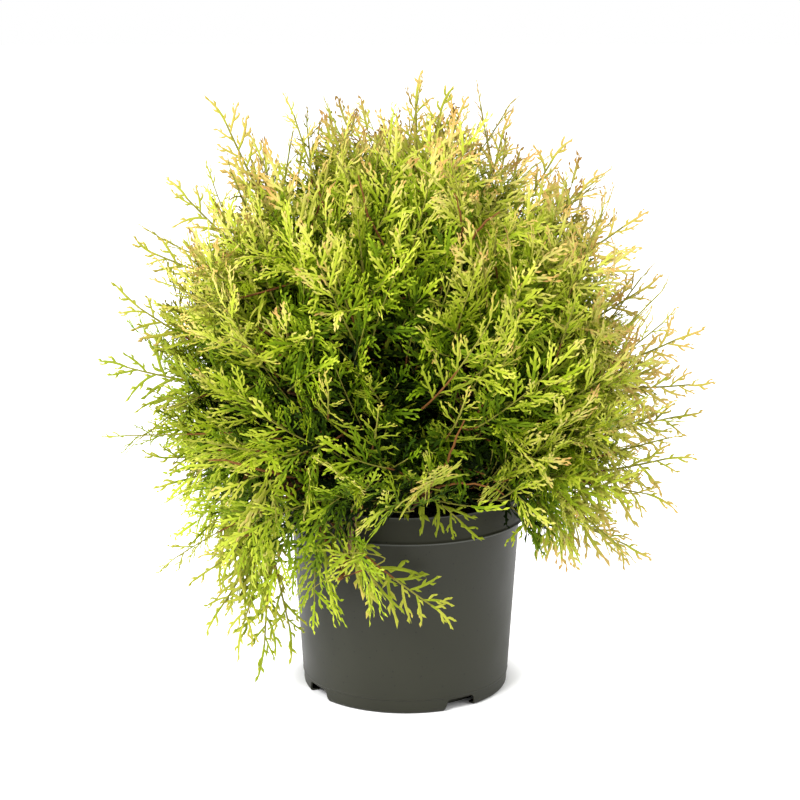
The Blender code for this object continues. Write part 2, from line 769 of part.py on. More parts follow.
def grow_spray(mass, stem, root, away, limbs, rng, taken):
    """A shoot from the stem whose blade leaves the core at a root, or none where none fits."""
    for attempt in range(TRIES):
        loosen = attempt / TRIES
        drift = away.cross(noise(rng)).normalized() + UP * math.copysign(DRIFT_RISE, root.z - CROWN_MIDDLE)
        drift = (drift - away * drift.dot(away)).normalized()
        lean = math.radians(rng.uniform(*LEAN) * (1.0 - loosen / 2.0))
        direction = away * math.cos(lean) + drift * math.sin(lean)
        face = tilted(away * math.sin(lean) - drift * math.cos(lean), 0.35, rng)
        path = [bezier(stem, rng.uniform(0.3, 1.0)), root.lerp(mass.middle, 0.1 * loosen)]
        shoot = shape_shoot(path, direction, face, rng.uniform(0.88, 1.12) * (1.0 - loosen / 4.0))
        twig, blade = shoot_samples(shoot)
        if fits(mass, twig + blade, limbs) and spaced(blade, taken):
            taken.append(np.array(blade))
            return [shoot]
    return []


def grow_leader(mass, stem, tip, limbs, rng, taken):
    """A long shoot that ends at a tip, with its side sprays."""
    for attempt in range(TRIES):
        start = bezier(stem, rng.uniform(0.5, 1.0))
        direction = tilted(tip - start + outward(tip) * 0.04, 0.05 + 0.25 * attempt / TRIES, rng)
        face = tilted(LEADER_FACE, 0.5, rng)
        foot = tip - direction * SPRAY_LENGTH * LEADER_SPRAY
        bend = start.lerp(foot, 0.5) + UP * LEADER_ARCH
        path = [bezier([start, bend, foot], share) for share in (0.0, 0.55, 1.0)]
        shoot = shape_shoot(path, direction, face, LEADER_SPRAY)
        twig, blade = shoot_samples(shoot)
        if not fits(mass, twig + blade, limbs) or not spaced(blade, taken):
            continue
        taken.append(np.array(blade))
        grown = [shoot]
        for index in range(SIDE_SPRAYS):
            grown += grow_side_spray(mass, path, direction, face, index, limbs, rng, taken)
        taken.append(np.array(twig))
        return grown
    return []


def grow_side_spray(mass, path, direction, face, index, limbs, rng, taken):
    """A shorter shoot that leaves a leader's twig to one side, or none where none fits."""
    for attempt in range(TRIES):
        sign = 1.0 if (index + attempt) % 2 else -1.0
        root = path[1].lerp(path[2], rng.uniform(0.2, 0.85))
        turned = direction.copy()
        turned.rotate(Quaternion(face, sign * math.radians(rng.uniform(*SIDE_ANGLE))))
        turned = tilted(turned, 0.20, rng)
        neck = [root - turned * TWIG_END_RADIUS / 2.0, root + turned * SIDE_NECK]
        shoot = shape_shoot(neck, turned, tilted(face, 0.35, rng), LEADER_SPRAY * rng.uniform(0.6, 0.9))
        _, blade = shoot_samples(shoot)
        if fits(mass, blade, limbs) and spaced(blade, taken):
            taken.append(np.array(blade))
            return [shoot]
    return []


def spread_directions(count):
    """Directions spread evenly over a sphere."""
    directions = []
    for index in range(count):
        height = 1.0 - 2.0 * (index + 0.5) / count
        level = math.sqrt(1.0 - height * height)
        turn = index * GOLDEN_ANGLE
        directions.append(Vector((level * math.cos(turn), level * math.sin(turn), height)))
    return directions


def set_sprays(masses):
    """Deal out the sprays' roots, evenly over the cores, and the tips of the leaders."""
    globe = [mass for mass in masses if mass.kind != "weeping"]
    for direction in spread_directions(GLOBE_SPRAYS):
        place = crown_point(direction, RINGS[0].core)
        owner = min(globe, key=lambda mass: (mass.middle - place).length)
        root = crown_point(direction, owner.core * ROOT_DEPTH)
        if root.z > POT_HEIGHT + CORE_OVER_POT or across(root) > COLLAR_RADIUS + CORE_OVER_POT * 1.5:
            owner.sprays.append((root, outward(crown_point(direction))))
    for mass in masses:
        if mass.kind == "weeping":
            for direction in spread_directions(WEEPING_SPRAYS):
                root = mass.middle + core_offset(mass, direction) * (ROOT_DEPTH - 0.1)
                away = (direction - UP * 0.8 + mass.away() * 0.3).normalized()
                mass.sprays.append((root, away))
    for tip in LEADER_TIPS:
        owner = min(masses, key=lambda mass: (mass.middle - Vector(tip)).length)
        owner.leaders.append(Vector(tip))


# ---- joining a mass -------------------------------------------------------------------------------------
def split_faces(mesh):
    """Split every face into triangles, so that none is bent."""
    bm = bmesh.new()
    bm.from_mesh(mesh)
    bmesh.ops.triangulate(bm, faces=bm.faces)
    bm.to_mesh(mesh)
    bm.free()


def keep_body(mesh):
    """Drop loose scraps and the walls of sealed hollows, and leave the one body in triangles."""
    split_faces(mesh)
    bm = bmesh.new()
    bm.from_mesh(mesh)
    unseen = set(bm.faces)
    shells = []
    while unseen:
        queue = [unseen.pop()]
        shell = list(queue)
        while queue:
            sealed = [edge for edge in queue.pop().edges if len(edge.link_faces) == 2]
            beside = {face for edge in sealed for face in edge.link_faces} & unseen
            unseen -= beside
            shell += beside
            queue += beside
        shells.append(shell)
    shells.sort(key=len, reverse=True)
    for shell in shells[1:]:
        bmesh.ops.delete(bm, geom=shell, context="FACES")
    bm.to_mesh(mesh)
    bm.free()


def fuse(name, base, collection):
    """Join the base and everything in the collection by one union, as the node's own mesh."""
    for obj in collection.objects:
        split_faces(obj.data)
    modifier = base.modifiers.new("union", "BOOLEAN")
    modifier.operation = "UNION"
    modifier.solver = "MANIFOLD"
    modifier.operand_type = "COLLECTION"
    modifier.collection = collection
    mesh = evaluated_mesh(base)
    for obj in [base, *collection.objects]:
        bpy.data.objects.remove(obj, do_unlink=True)
    bpy.data.collections.remove(collection)
    keep_body(mesh)
    mesh.name = name
    return add_object(name, mesh)


def make_foliage(mass, masses, limbs):
    """One mass: its core, its stem and its shoots, fused into one solid."""
    rng = random.Random(f"{mass.name} {SEED}")
    collection = bpy.data.collections.new(f"parts of {mass.name}")
    bpy.context.scene.collection.children.link(collection)
    core = core_object(mass, rng)
    if mass.kind == "skirt":
        for bearer in masses:
            if bearer.kind == "weeping":
                clear_limb(core, bearer)
    stem = stem_curve(mass)
    path = bezier_path(stem, STEM_STEPS)
    path.insert(1, stem[0].lerp(stem[1], STEM_FOOT))
    tube("stem", path, ramp(STEM_RADIUS, STEM_END_RADIUS, STEM_STEPS + 1), STEM_SIDES, collection)
    shoots, taken = [], []
    for tip in mass.leaders:
        shoots += grow_leader(mass, stem, tip, limbs, rng, taken)
    for root, away in mass.sprays:
        shoots += grow_spray(mass, stem, root, away, limbs, rng, taken)
    for shoot in shoots:
        shoot_object(shoot, collection)
    paint(fuse(f"foliage_{mass.name}", core, collection), FOLIAGE[mass.kind])


def main():
    clear_scene()
    make_pot()
    make_soil()
    make_trunk()
    masses = crown_masses()
    clearance = trunk_tube("trunk_clearance", GAP)
    for mass in masses:
        if mass.kind != "top":
            make_bough(mass, clearance)
    set_planes(masses)
    set_sprays(masses)
    limbs = Limbs(masses)
    for mass in masses:
        make_foliage(mass, masses, limbs)


main()
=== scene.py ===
import math
import random
from typing import NamedTuple

import bpy
import numpy as np
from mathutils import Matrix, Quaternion, Vector, noise


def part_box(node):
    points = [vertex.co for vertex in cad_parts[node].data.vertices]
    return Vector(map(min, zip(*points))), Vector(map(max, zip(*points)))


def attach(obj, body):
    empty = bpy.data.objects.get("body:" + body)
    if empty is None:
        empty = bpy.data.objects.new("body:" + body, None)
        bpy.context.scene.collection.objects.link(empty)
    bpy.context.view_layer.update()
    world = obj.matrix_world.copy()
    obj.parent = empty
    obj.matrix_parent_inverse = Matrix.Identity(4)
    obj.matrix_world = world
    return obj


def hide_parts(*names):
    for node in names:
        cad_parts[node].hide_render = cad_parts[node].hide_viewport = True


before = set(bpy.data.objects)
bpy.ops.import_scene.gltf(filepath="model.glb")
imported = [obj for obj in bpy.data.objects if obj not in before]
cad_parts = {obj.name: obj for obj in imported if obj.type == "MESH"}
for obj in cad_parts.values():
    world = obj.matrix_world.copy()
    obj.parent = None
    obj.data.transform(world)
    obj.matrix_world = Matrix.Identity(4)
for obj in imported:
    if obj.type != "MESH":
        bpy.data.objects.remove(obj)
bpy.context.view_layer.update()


# ---- Pot ----------------------------------------------------------------------------------------
# A nursery pot, injection-moulded in one piece of recycled grey polypropylene.  The body tapers so
# that it leaves the mould, a collar steps out under the rim for lifting, and the foot has a turned-in
# lip with four notches that let water run out from the holes in the floor.
pot_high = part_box("pot")[1]
POT_HEIGHT = pot_high.z
COLLAR_RADIUS = pot_high.x
COLLAR_DEPTH = 0.022
COLLAR_DRAFT = 0.001
COLLAR_STEP = 0.0051        # how far the collar stands out from the body under it
BODY_TOP_RADIUS = COLLAR_RADIUS - COLLAR_STEP
FOOT_RADIUS = 0.0818
FOOT_CORNER = 0.004
FOOT_LIP_RADIUS = 0.0735
POT_WALL = 0.0014
SKIRT_LINE = 0.0112
SKIRT_STEP = 0.0005
WITNESS_LINE = 0.0005       # how far the mould's parting lines stand out
PAINTED_LIGHT_BAND = 0.0006          # width of the painted highlights on the collar's edges, and of the fade into the collar's painted shade
BASE_RIB_RADIUS = 0.068     # a rib under the floor, behind the notches
BASE_RIB_FOOT = 0.0012
NOTCH_HEIGHT = 0.0092
NOTCH_ANGLE = 22.0
NOTCH_SLANT = 3.0
NOTCH_FIRST = -58.0
NOTCH_COUNT = 4
NOTCH_ROUNDING = 0.0025
DRAIN_RADIUS = 0.0055
DRAIN_CIRCLE = 0.060
DRAIN_SEGMENTS = 32
POT_SEGMENTS = 160
CRISP_EDGE = 0.0004         # roundings that the mould leaves
SOFT_EDGE = 0.0010
BAND_INSET = 0.0026         # from the collar's edges to the flat band between them
SKIRT_SLOPE = 0.0018
ROUNDING_END = 0.45         # the most of an edge that the rounding of its corner takes


def polar(radius, azimuth, height):
    """The point at a radius, an azimuth in degrees from +X, and a height."""
    turn = math.radians(azimuth)
    return Vector((radius * math.cos(turn), radius * math.sin(turn), height))


def body_radius(height):
    """Outer radius of the pot's tapered body."""
    share = (height - SKIRT_LINE) / (POT_HEIGHT - COLLAR_DEPTH - SKIRT_LINE)
    return FOOT_RADIUS + (BODY_TOP_RADIUS - FOOT_RADIUS) * share


def rounded(corners, steps=4):
    """An outline through corners of (across, up, rounding), with each corner rounded off."""
    outline = []
    for index, (x, y, rounding) in enumerate(corners):
        if rounding == 0.0:
            outline.append((x, y))
            continue
        corner = Vector((x, y))
        before = Vector(corners[index - 1][:2]) - corner
        after = Vector(corners[(index + 1) % len(corners)][:2]) - corner
        start = corner + before.normalized() * min(rounding, before.length * ROUNDING_END)
        end = corner + after.normalized() * min(rounding, after.length * ROUNDING_END)
        for step in range(steps + 1):
            share = step / steps
            outline.append(tuple(start.lerp(corner, share).lerp(corner.lerp(end, share), share)))
    return outline


def pot_corners():
    """Corners of the wall's section: from the middle of the floor up inside, and down outside."""
    collar_low = POT_HEIGHT - COLLAR_DEPTH
    floor_top = SKIRT_LINE + POT_WALL
    collar_foot = COLLAR_RADIUS - COLLAR_DRAFT
    foot = FOOT_RADIUS - SKIRT_STEP
    rib_out = BASE_RIB_RADIUS + POT_WALL / 2.0
    rib_in = BASE_RIB_RADIUS - POT_WALL / 2.0
    return [
        (0.0, floor_top, 0.0),
        (body_radius(floor_top) - POT_WALL, floor_top, 0.003),
        (body_radius(collar_low) - POT_WALL, collar_low - POT_WALL, SOFT_EDGE),
        (collar_foot - POT_WALL, collar_low + POT_WALL, SOFT_EDGE),
        (COLLAR_RADIUS - POT_WALL * 1.2, POT_HEIGHT, 0.0006),
        (COLLAR_RADIUS, POT_HEIGHT, 0.0009),
        (COLLAR_RADIUS - WITNESS_LINE, POT_HEIGHT - BAND_INSET, 0.0008),
        (collar_foot - WITNESS_LINE, collar_low + BAND_INSET, 0.0008),
        (collar_foot + WITNESS_LINE, collar_low + SOFT_EDGE, CRISP_EDGE),
        (collar_foot + WITNESS_LINE * 0.6, collar_low, CRISP_EDGE),
        (body_radius(collar_low), collar_low, 0.0022),
        (body_radius(SKIRT_LINE + SKIRT_SLOPE), SKIRT_LINE + SKIRT_SLOPE, 0.0006),
        (FOOT_RADIUS + WITNESS_LINE * 0.6, SKIRT_LINE + CRISP_EDGE, 0.0003),
        (foot, SKIRT_LINE - SKIRT_STEP, CRISP_EDGE),
        (foot - 0.0003, 0.0, FOOT_CORNER),
        (FOOT_LIP_RADIUS, 0.0, CRISP_EDGE),
        (FOOT_LIP_RADIUS, POT_WALL, CRISP_EDGE),
        (foot - POT_WALL, POT_WALL, FOOT_CORNER),
        (foot - POT_WALL, SKIRT_LINE, SOFT_EDGE),
        (rib_out, SKIRT_LINE, SOFT_EDGE),
        (rib_out, BASE_RIB_FOOT, CRISP_EDGE),
        (rib_in, BASE_RIB_FOOT, CRISP_EDGE),
        (rib_in, SKIRT_LINE, SOFT_EDGE),
        (0.0, SKIRT_LINE, 0.0),
    ]


def new_object(name, data):
    """An object in the scene that shows this data."""
    obj = bpy.data.objects.new(name, data)
    bpy.context.scene.collection.objects.link(obj)
    return obj


def add_piece(name, vertices, faces):
    """A mesh object from its vertices and faces."""
    mesh = bpy.data.meshes.new(name)
    mesh.from_pydata([tuple(vertex) for vertex in vertices], [], faces)
    mesh.update()
    return new_object(name, mesh)


def revolve(name, profile, segments):
    """Turn a profile that starts and ends on the axis into a closed solid."""
    vertices = [Vector((0.0, 0.0, profile[0][1]))]
    for radius, height in profile[1:-1]:
        vertices += [polar(radius, 360.0 * step / segments, height) for step in range(segments)]
    vertices.append(Vector((0.0, 0.0, profile[-1][1])))
    end = len(vertices) - 1
    faces = []
    for step in range(segments):
        after = (step + 1) % segments
        faces.append((0, 1 + step, 1 + after))
        for low in range(1, end - segments, segments):
            high = low + segments
            faces.append((low + step, high + step, high + after, low + after))
        faces.append((end, end - segments + after, end - segments + step))
    return add_piece(name, vertices, faces)


def prism(name, near, far):
    """A closed solid between two outlines with as many corners."""
    count = len(near)
    faces = [tuple(reversed(range(count))), tuple(range(count, count * 2))]
    faces += [(side, (side + 1) % count, (side + 1) % count + count, side + count) for side in range(count)]
    return add_piece(name, near + far, faces)


def notch_cutter(azimuth):
    """A wedge with slanted sides and rounded upper corners, which opens the foot's lip."""
    low = math.tan(math.radians(NOTCH_ANGLE / 2.0)) * FOOT_RADIUS
    high = math.tan(math.radians(NOTCH_ANGLE / 2.0 - NOTCH_SLANT)) * FOOT_RADIUS
    below = -FOOT_CORNER
    outline = rounded([(-low, below, 0.0), (low, below, 0.0), (high, NOTCH_HEIGHT, NOTCH_ROUNDING),
                       (-high, NOTCH_HEIGHT, NOTCH_ROUNDING)])
    near, far = ([(radius, across * radius / FOOT_RADIUS, up) for across, up in outline]
                 for radius in (FOOT_LIP_RADIUS - FOOT_CORNER * 0.7, FOOT_RADIUS + FOOT_CORNER))
    cutter = prism("notch_cutter", near, far)
    cutter.rotation_euler.z = math.radians(azimuth)
    return cutter


def drain_cutter(azimuth):
    """A round hole through the floor."""
    middle = polar(DRAIN_CIRCLE, azimuth, SKIRT_LINE + POT_WALL / 2.0)
    near, far = ([middle + polar(DRAIN_RADIUS, 360.0 * step / DRAIN_SEGMENTS, rise)
                  for step in range(DRAIN_SEGMENTS)] for rise in (-POT_WALL * 2.0, POT_WALL * 2.0))
    return prism("drain_cutter", near, far)


def settle(obj):
    """Make the modifiers' result the object's own mesh, and leave it without modifiers."""
    bpy.context.view_layer.update()
    mesh = bpy.data.meshes.new_from_object(obj.evaluated_get(bpy.context.evaluated_depsgraph_get()))
    obj.modifiers.clear()
    obj.data = mesh
    mesh.name = obj.name


def shade_smooth(obj, angle):
    """Smooth shading, with sharp edges where two faces meet at more than an angle in degrees."""
    obj.data.shade_smooth()
    obj.data.set_sharp_from_angle(angle=math.radians(angle))


def principled(name, colour, roughness):
    """A material with a Principled shader, and the shader."""
    material = bpy.data.materials.new(name)
    material.use_nodes = True
    shader = material.node_tree.nodes["Principled BSDF"]
    shader.inputs["Base Color"].default_value = (*colour, 1.0)
    shader.inputs["Roughness"].default_value = roughness
    return material, shader


def set_up(node, settings=(), **inputs):
    """Give a node these settings, and values for inputs named with _ for a space."""
    for name, value in dict(settings).items():
        setattr(node, name, value)
    for name, value in inputs.items():
        node.inputs[name.replace("_", " ")].default_value = value
    return node


def add_node(material, kind, settings=(), **inputs):
    """A shader node of a material with these settings and input values."""
    return set_up(material.node_tree.nodes.new("ShaderNode" + kind), settings, **inputs)


def link(material, source, output, target, socket):
    """Lead a node's output to another's input."""
    material.node_tree.links.new(source.outputs[output], target.inputs[socket])


def ramp_between(material, source, output, stops):
    """A colour ramp through (place, colour) stops, fed by a node's output."""
    ramp = add_node(material, "ValToRGB")
    elements = ramp.color_ramp.elements
    while len(elements) < len(stops):
        elements.new(0.5)
    for element, (place, colour) in zip(elements, stops):
        element.position = place
        element.color = (*colour, 1.0)
    link(material, source, output, ramp, "Fac")
    return ramp


def roughen(material, shader, pattern, strength, distance):
    """Bump the surface by a pattern's height."""
    bump = add_node(material, "Bump", Strength=strength, Distance=distance)
    link(material, pattern, "Fac", bump, "Height")
    link(material, bump, "Normal", shader, "Normal")


def moulded_plastic():
    """Matte grey polypropylene: cloudy from recycled resin, a fine spark-eroded grain, a few specks; painted
    highlights along the collar's edges, and painted shade on the collar, which reflects less.
    """
    greys = ((0.0106, 0.0108, 0.0048), (0.0152, 0.0156, 0.0082))
    edge_highlight_colour = (0.052, 0.054, 0.046)
    material, shader = principled("moulded_plastic", greys[0], 0.5)
    place = add_node(material, "TexCoord")
    cloud = add_node(material, "TexNoise", Scale=14.0, Detail=3.0)
    specks = add_node(material, "TexVoronoi", Scale=170.0, Randomness=1.0)
    grain = add_node(material, "TexNoise", Scale=1500.0, Detail=2.0)
    for pattern in (cloud, specks, grain):
        link(material, place, "Object", pattern, "Vector")
    flow = ramp_between(material, cloud, "Fac", ((0.35, greys[0]), (0.68, greys[1])))
    dots = ramp_between(material, specks, "Distance", ((0.06, (0.35, 0.35, 0.35)), (0.13, (1.0, 1.0, 1.0))))
    mixed = add_node(material, "Mix", {"data_type": "RGBA", "blend_type": "MULTIPLY"}, Factor=1.0)
    link(material, flow, "Color", mixed, 6)
    link(material, dots, "Color", mixed, 7)
    height = add_node(material, "SeparateXYZ")
    link(material, place, "Object", height, "Vector")
    # Painted shade: from the collar's foot up the pot reflects less, so the collar looks darker, as under the
    # crown.
    collar_painted_shade = add_node(material, "MapRange", From_Min=POT_HEIGHT - COLLAR_DEPTH - PAINTED_LIGHT_BAND,
                      From_Max=POT_HEIGHT - COLLAR_DEPTH, To_Min=0.23, To_Max=0.12)
    link(material, height, "Z", collar_painted_shade, "Value")
    link(material, collar_painted_shade, "Result", shader, "Specular IOR Level")
    highlighted = mixed
    # Painted highlights: pale bands along the collar's lower edge and the rim's top edge.
    for edge in (POT_HEIGHT - COLLAR_DEPTH + PAINTED_LIGHT_BAND, POT_HEIGHT - PAINTED_LIGHT_BAND * 0.5):
        near = add_node(material, "Math", {"operation": "COMPARE"})
        link(material, height, "Z", near, 0)
        near.inputs[1].default_value = edge
        near.inputs[2].default_value = PAINTED_LIGHT_BAND
        highlight_band = add_node(material, "Mix", {"data_type": "RGBA"})
        link(material, near, "Value", highlight_band, "Factor")
        link(material, highlighted, 2, highlight_band, 6)
        highlight_band.inputs[7].default_value = (*edge_highlight_colour, 1.0)
        highlighted = highlight_band
    link(material, highlighted, 2, shader, "Base Color")
    sheen = add_node(material, "MapRange", From_Min=0.3, From_Max=0.7, To_Min=0.42, To_Max=0.58)
    link(material, cloud, "Fac", sheen, "Value")
    link(material, sheen, "Result", shader, "Roughness")
    roughen(material, shader, grain, 0.35, 0.00012)
    return material


pot = revolve("nursery_pot", rounded(pot_corners()), POT_SEGMENTS)
pot_cutters = []
for corner in range(NOTCH_COUNT):
    corner_azimuth = NOTCH_FIRST + 360.0 * corner / NOTCH_COUNT
    pot_cutters += [notch_cutter(corner_azimuth), drain_cutter(corner_azimuth)]
for cutter in pot_cutters:
    opening = pot.modifiers.new(cutter.name, "BOOLEAN")
    opening.operation = "DIFFERENCE"
    opening.solver = "EXACT"
    opening.object = cutter
settle(pot)
for cutter in pot_cutters:
    bpy.data.objects.remove(cutter, do_unlink=True)
shade_smooth(pot, 32.0)
pot.data.materials.append(moulded_plastic())
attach(pot, "root")
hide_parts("pot")


# ---- Peat ---------------------------------------------------------------------------------------
# The growing mix: dark moist peat with bits of bark, filled to a finger's breadth under the rim and
# sunk a little where it was watered.  The fill is one crumbly body, and loose crumbs lie on it.
soil_low, soil_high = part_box("soil")
SOIL_RADIUS = soil_high.x
SOIL_TOP = 0.150
SOIL_SINK = 0.0016
SOIL_RIM = 0.004            # the lumps fade out this far from the pot's wall
SOIL_LEDGE = 1.7            # how high over the collar's foot the fill widens, in walls
SOIL_GAP = 0.0003           # clearance of the fill's side to the wall
SOIL_LUMPS = ((38.0, 0.0016), (120.0, 0.0011), (330.0, 0.0006))    # how fine, and how high
SOIL_RINGS = 64
SOIL_SEGMENTS = 200
CRUMB_SEED = 7


def soil_height(x, y):
    """Height of the peat's crumbly top at a place."""
    rise = sum(noise.noise(Vector((x, y, fine)) * fine) * high for fine, high in SOIL_LUMPS)
    return SOIL_TOP - SOIL_SINK + rise * min(1.0, (SOIL_RADIUS - math.hypot(x, y)) / SOIL_RIM)


def make_peat():
    """The fill: a grid of rings over the top, and the side down to the pot's floor."""
    vertices = [Vector((0.0, 0.0, soil_height(0.0, 0.0)))]
    turns = [360.0 * step / SOIL_SEGMENTS for step in range(SOIL_SEGMENTS)]
    for ring in range(1, SOIL_RINGS + 1):
        for turn in turns:
            spot = polar(SOIL_RADIUS * ring / SOIL_RINGS, turn, 0.0)
            vertices.append(Vector((spot.x, spot.y, soil_height(spot.x, spot.y))))
    ledge = POT_HEIGHT - COLLAR_DEPTH
    for radius, height in ((SOIL_RADIUS, ledge + POT_WALL * SOIL_LEDGE),
                           (body_radius(ledge) - POT_WALL - SOIL_GAP, ledge - POT_WALL),
                           (body_radius(soil_low.z) - POT_WALL - SOIL_GAP, soil_low.z)):
        vertices += [polar(radius, turn, height) for turn in turns]
    faces = []
    for step in range(SOIL_SEGMENTS):
        after = (step + 1) % SOIL_SEGMENTS
        faces.append((0, 1 + step, 1 + after))
        for ring in range(SOIL_RINGS + 2):
            low, high = 1 + ring * SOIL_SEGMENTS, 1 + (ring + 1) * SOIL_SEGMENTS
            faces.append((low + step, high + step, high + after, low + after))
    last = 1 + (SOIL_RINGS + 2) * SOIL_SEGMENTS
    faces.append(tuple(reversed(range(last, last + SOIL_SEGMENTS))))
    return add_piece("peat", vertices, faces)


def peat_material(name, dark, light, roughness):
    """Moist peat or bark bits: dark, mottled at the size of a crumb, rough with a wet glint."""
    material, shader = principled(name, dark, roughness)
    place = add_node(material, "TexCoord")
    mottle = add_node(material, "TexNoise", Scale=420.0, Detail=4.0)
    link(material, place, "Object", mottle, "Vector")
    tint = ramp_between(material, mottle, "Fac", ((0.38, dark), (0.66, light)))
    link(material, tint, "Color", shader, "Base Color")
    roughen(material, shader, mottle, 0.8, 0.0005)
    return material


def scatter_tree():
    """Geometry nodes that scatter small lumps over the upward faces of a mesh."""
    tree = bpy.data.node_groups.new("scatter_lumps", "GeometryNodeTree")
    kinds = (("Geometry", "Geometry"), ("Density", "Float"), ("Least Size", "Vector"),
             ("Most Size", "Vector"), ("Seed", "Int"), ("Material", "Material"))
    for name, kind in kinds:
        tree.interface.new_socket(name, in_out="INPUT", socket_type="NodeSocket" + kind)
    tree.interface.new_socket("Geometry", in_out="OUTPUT", socket_type="NodeSocketGeometry")
    new = tree.nodes.new
    group_in = new("NodeGroupInput")
    group_out = new("NodeGroupOutput")
    facing = new("GeometryNodeInputNormal")
    split = new("ShaderNodeSeparateXYZ")
    upward = set_up(new("FunctionNodeCompare"), {"data_type": "FLOAT", "operation": "GREATER_THAN"}, B=0.5)
    points = new("GeometryNodeDistributePointsOnFaces")
    lump = set_up(new("GeometryNodeMeshIcoSphere"), Subdivisions=1, Radius=1.0)
    size = set_up(new("FunctionNodeRandomValue"), {"data_type": "FLOAT_VECTOR"})
    turn = set_up(new("FunctionNodeRandomValue"), {"data_type": "FLOAT_VECTOR"}, Max=(math.tau,) * 3)
    place = new("GeometryNodeInstanceOnPoints")
    real = new("GeometryNodeRealizeInstances")
    paint = new("GeometryNodeSetMaterial")
    for source, output, target, socket in (
            (facing, "Normal", split, "Vector"), (split, "Z", upward, "A"),
            (group_in, "Geometry", points, "Mesh"), (upward, "Result", points, "Selection"),
            (group_in, "Density", points, "Density"), (group_in, "Seed", points, "Seed"),
            (group_in, "Seed", size, "Seed"), (group_in, "Least Size", size, "Min"),
            (group_in, "Most Size", size, "Max"), (group_in, "Seed", turn, "Seed"),
            (points, "Points", place, "Points"), (lump, "Mesh", place, "Instance"),
            (turn, "Value", place, "Rotation"), (size, "Value", place, "Scale"),
            (place, "Instances", real, "Geometry"), (real, "Geometry", paint, "Geometry"),
            (group_in, "Material", paint, "Material"), (paint, "Geometry", group_out, "Geometry")):
        tree.links.new(source.outputs[output], target.inputs[socket])
    return tree


def scatter(name, ground, tree, values):
    """Lumps scattered over a copy of the ground, as a plain mesh of their own."""
    obj = new_object(name, ground.data.copy())
    modifier = obj.modifiers.new(name, "NODES")
    modifier.node_group = tree
    sockets = {item.name: item.identifier for item in tree.interface.items_tree if item.in_out == "INPUT"}
    for key, value in values.items():
        modifier[sockets[key]] = value
    settle(obj)
    return obj


peat = make_peat()
shade_smooth(peat, 60.0)
peat_colour = peat_material("moist_peat", (0.010, 0.007, 0.005), (0.030, 0.019, 0.012), 0.85)
bark_bits = peat_material("bark_bits", (0.028, 0.014, 0.008), (0.085, 0.042, 0.022), 0.8)
peat.data.materials.append(peat_colour)
lump_tree = scatter_tree()
crumbs = scatter("peat_crumbs", peat, lump_tree, {
    "Density": 52000.0, "Least Size": (0.0006, 0.0006, 0.0004), "Most Size": (0.0018, 0.0016, 0.0012),
    "Seed": CRUMB_SEED, "Material": peat_colour,
})
fibres = scatter("bark_fibres", peat, lump_tree, {
    "Density": 9000.0, "Least Size": (0.0003, 0.0003, 0.0015), "Most Size": (0.0007, 0.0006, 0.0048),
    "Seed": CRUMB_SEED + 1, "Material": bark_bits,
})
for piece in (peat, crumbs, fibres):
    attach(piece, "root")
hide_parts("soil")


# ---- Trunk --------------------------------------------------------------------------------------
# A young stem no thicker than a finger, cut level where it enters the peat, with a small root flare.
# Its bark is thin and reddish, and splits along the stem into narrow fibrous strips.
trunk_low, trunk_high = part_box("trunk")
TRUNK_FOOT = Vector((0.010, -0.004))
TRUNK_BOW = Vector((0.012, -0.006))
TRUNK_TIP = Vector((0.007, 0.0))
TRUNK_TOP = trunk_high.z
TRUNK_FOOT_RADIUS = 0.0105
TRUNK_RADIUS = 0.0068
TRUNK_TIP_RADIUS = 0.0021
FLARE_HEIGHT = 0.012
FLARE_LOBES = 3
FLARE_RELIEF = 0.16
TRUNK_SIDES = 40
BARK_STEP = 0.0018          # length of bark between two rings of vertices
BARK_RELIEF = 0.13          # depth of the furrows against the limb's radius
BARK_STRIPS = 3.4
BARK_LENGTH = 55.0
UP = Vector((0.0, 0.0, 1.0))


def bezier(points, share):
    """A point on the Bezier curve with these control points."""
    row = list(points)
    while len(row) > 1:
        row = [a.lerp(b, share) for a, b in zip(row, row[1:])]
    return row[0]


def ramp(start, end, steps):
    """Values from a start to an end in even steps."""
    return [start + (end - start) * index / steps for index in range(steps + 1)]


def trunk_point(height):
    """Middle of the trunk at a height."""
    share = (height - SOIL_TOP) / (TRUNK_TOP - SOIL_TOP)
    place = TRUNK_FOOT.lerp(TRUNK_TIP, share) + TRUNK_BOW * math.sin(math.pi * share)
    return Vector((place.x, place.y, height))


def flare_share(height):
    """How much of the root flare is left at a height."""
    return max(0.0, 1.0 - (height - SOIL_TOP) / FLARE_HEIGHT)


def trunk_radius(height):
    """Radius of the trunk at a height, with the root flare at its foot."""
    share = (height - SOIL_TOP) / (TRUNK_TOP - SOIL_TOP)
    taper = TRUNK_RADIUS + (TRUNK_TIP_RADIUS - TRUNK_RADIUS) * share
    return taper + (TRUNK_FOOT_RADIUS - TRUNK_RADIUS) * flare_share(height) ** 2


def furrows(turn, run, radius):
    """Relief of fibrous bark at an angle round a limb and a distance along it, about 0."""
    strips = Vector((math.cos(turn) * BARK_STRIPS, math.sin(turn) * BARK_STRIPS, run * BARK_LENGTH))
    coarse = noise.noise(strips + Vector((radius * 900.0, 0.0, 0.0)))
    fine = noise.noise(strips * 2.7 + Vector((4.0, radius * 700.0, 0.0)))
    return coarse * 0.65 + fine * 0.35


def along_path(path):
    """Each point of a path, and the turn from upright to the path's direction there."""
    turn = UP.rotation_difference(path[1] - path[0])
    for index, point in enumerate(path):
        ahead = path[min(index + 1, len(path) - 1)] - path[max(index - 1, 0)]
        turn = (turn @ UP).rotation_difference(ahead) @ turn
        yield point, turn


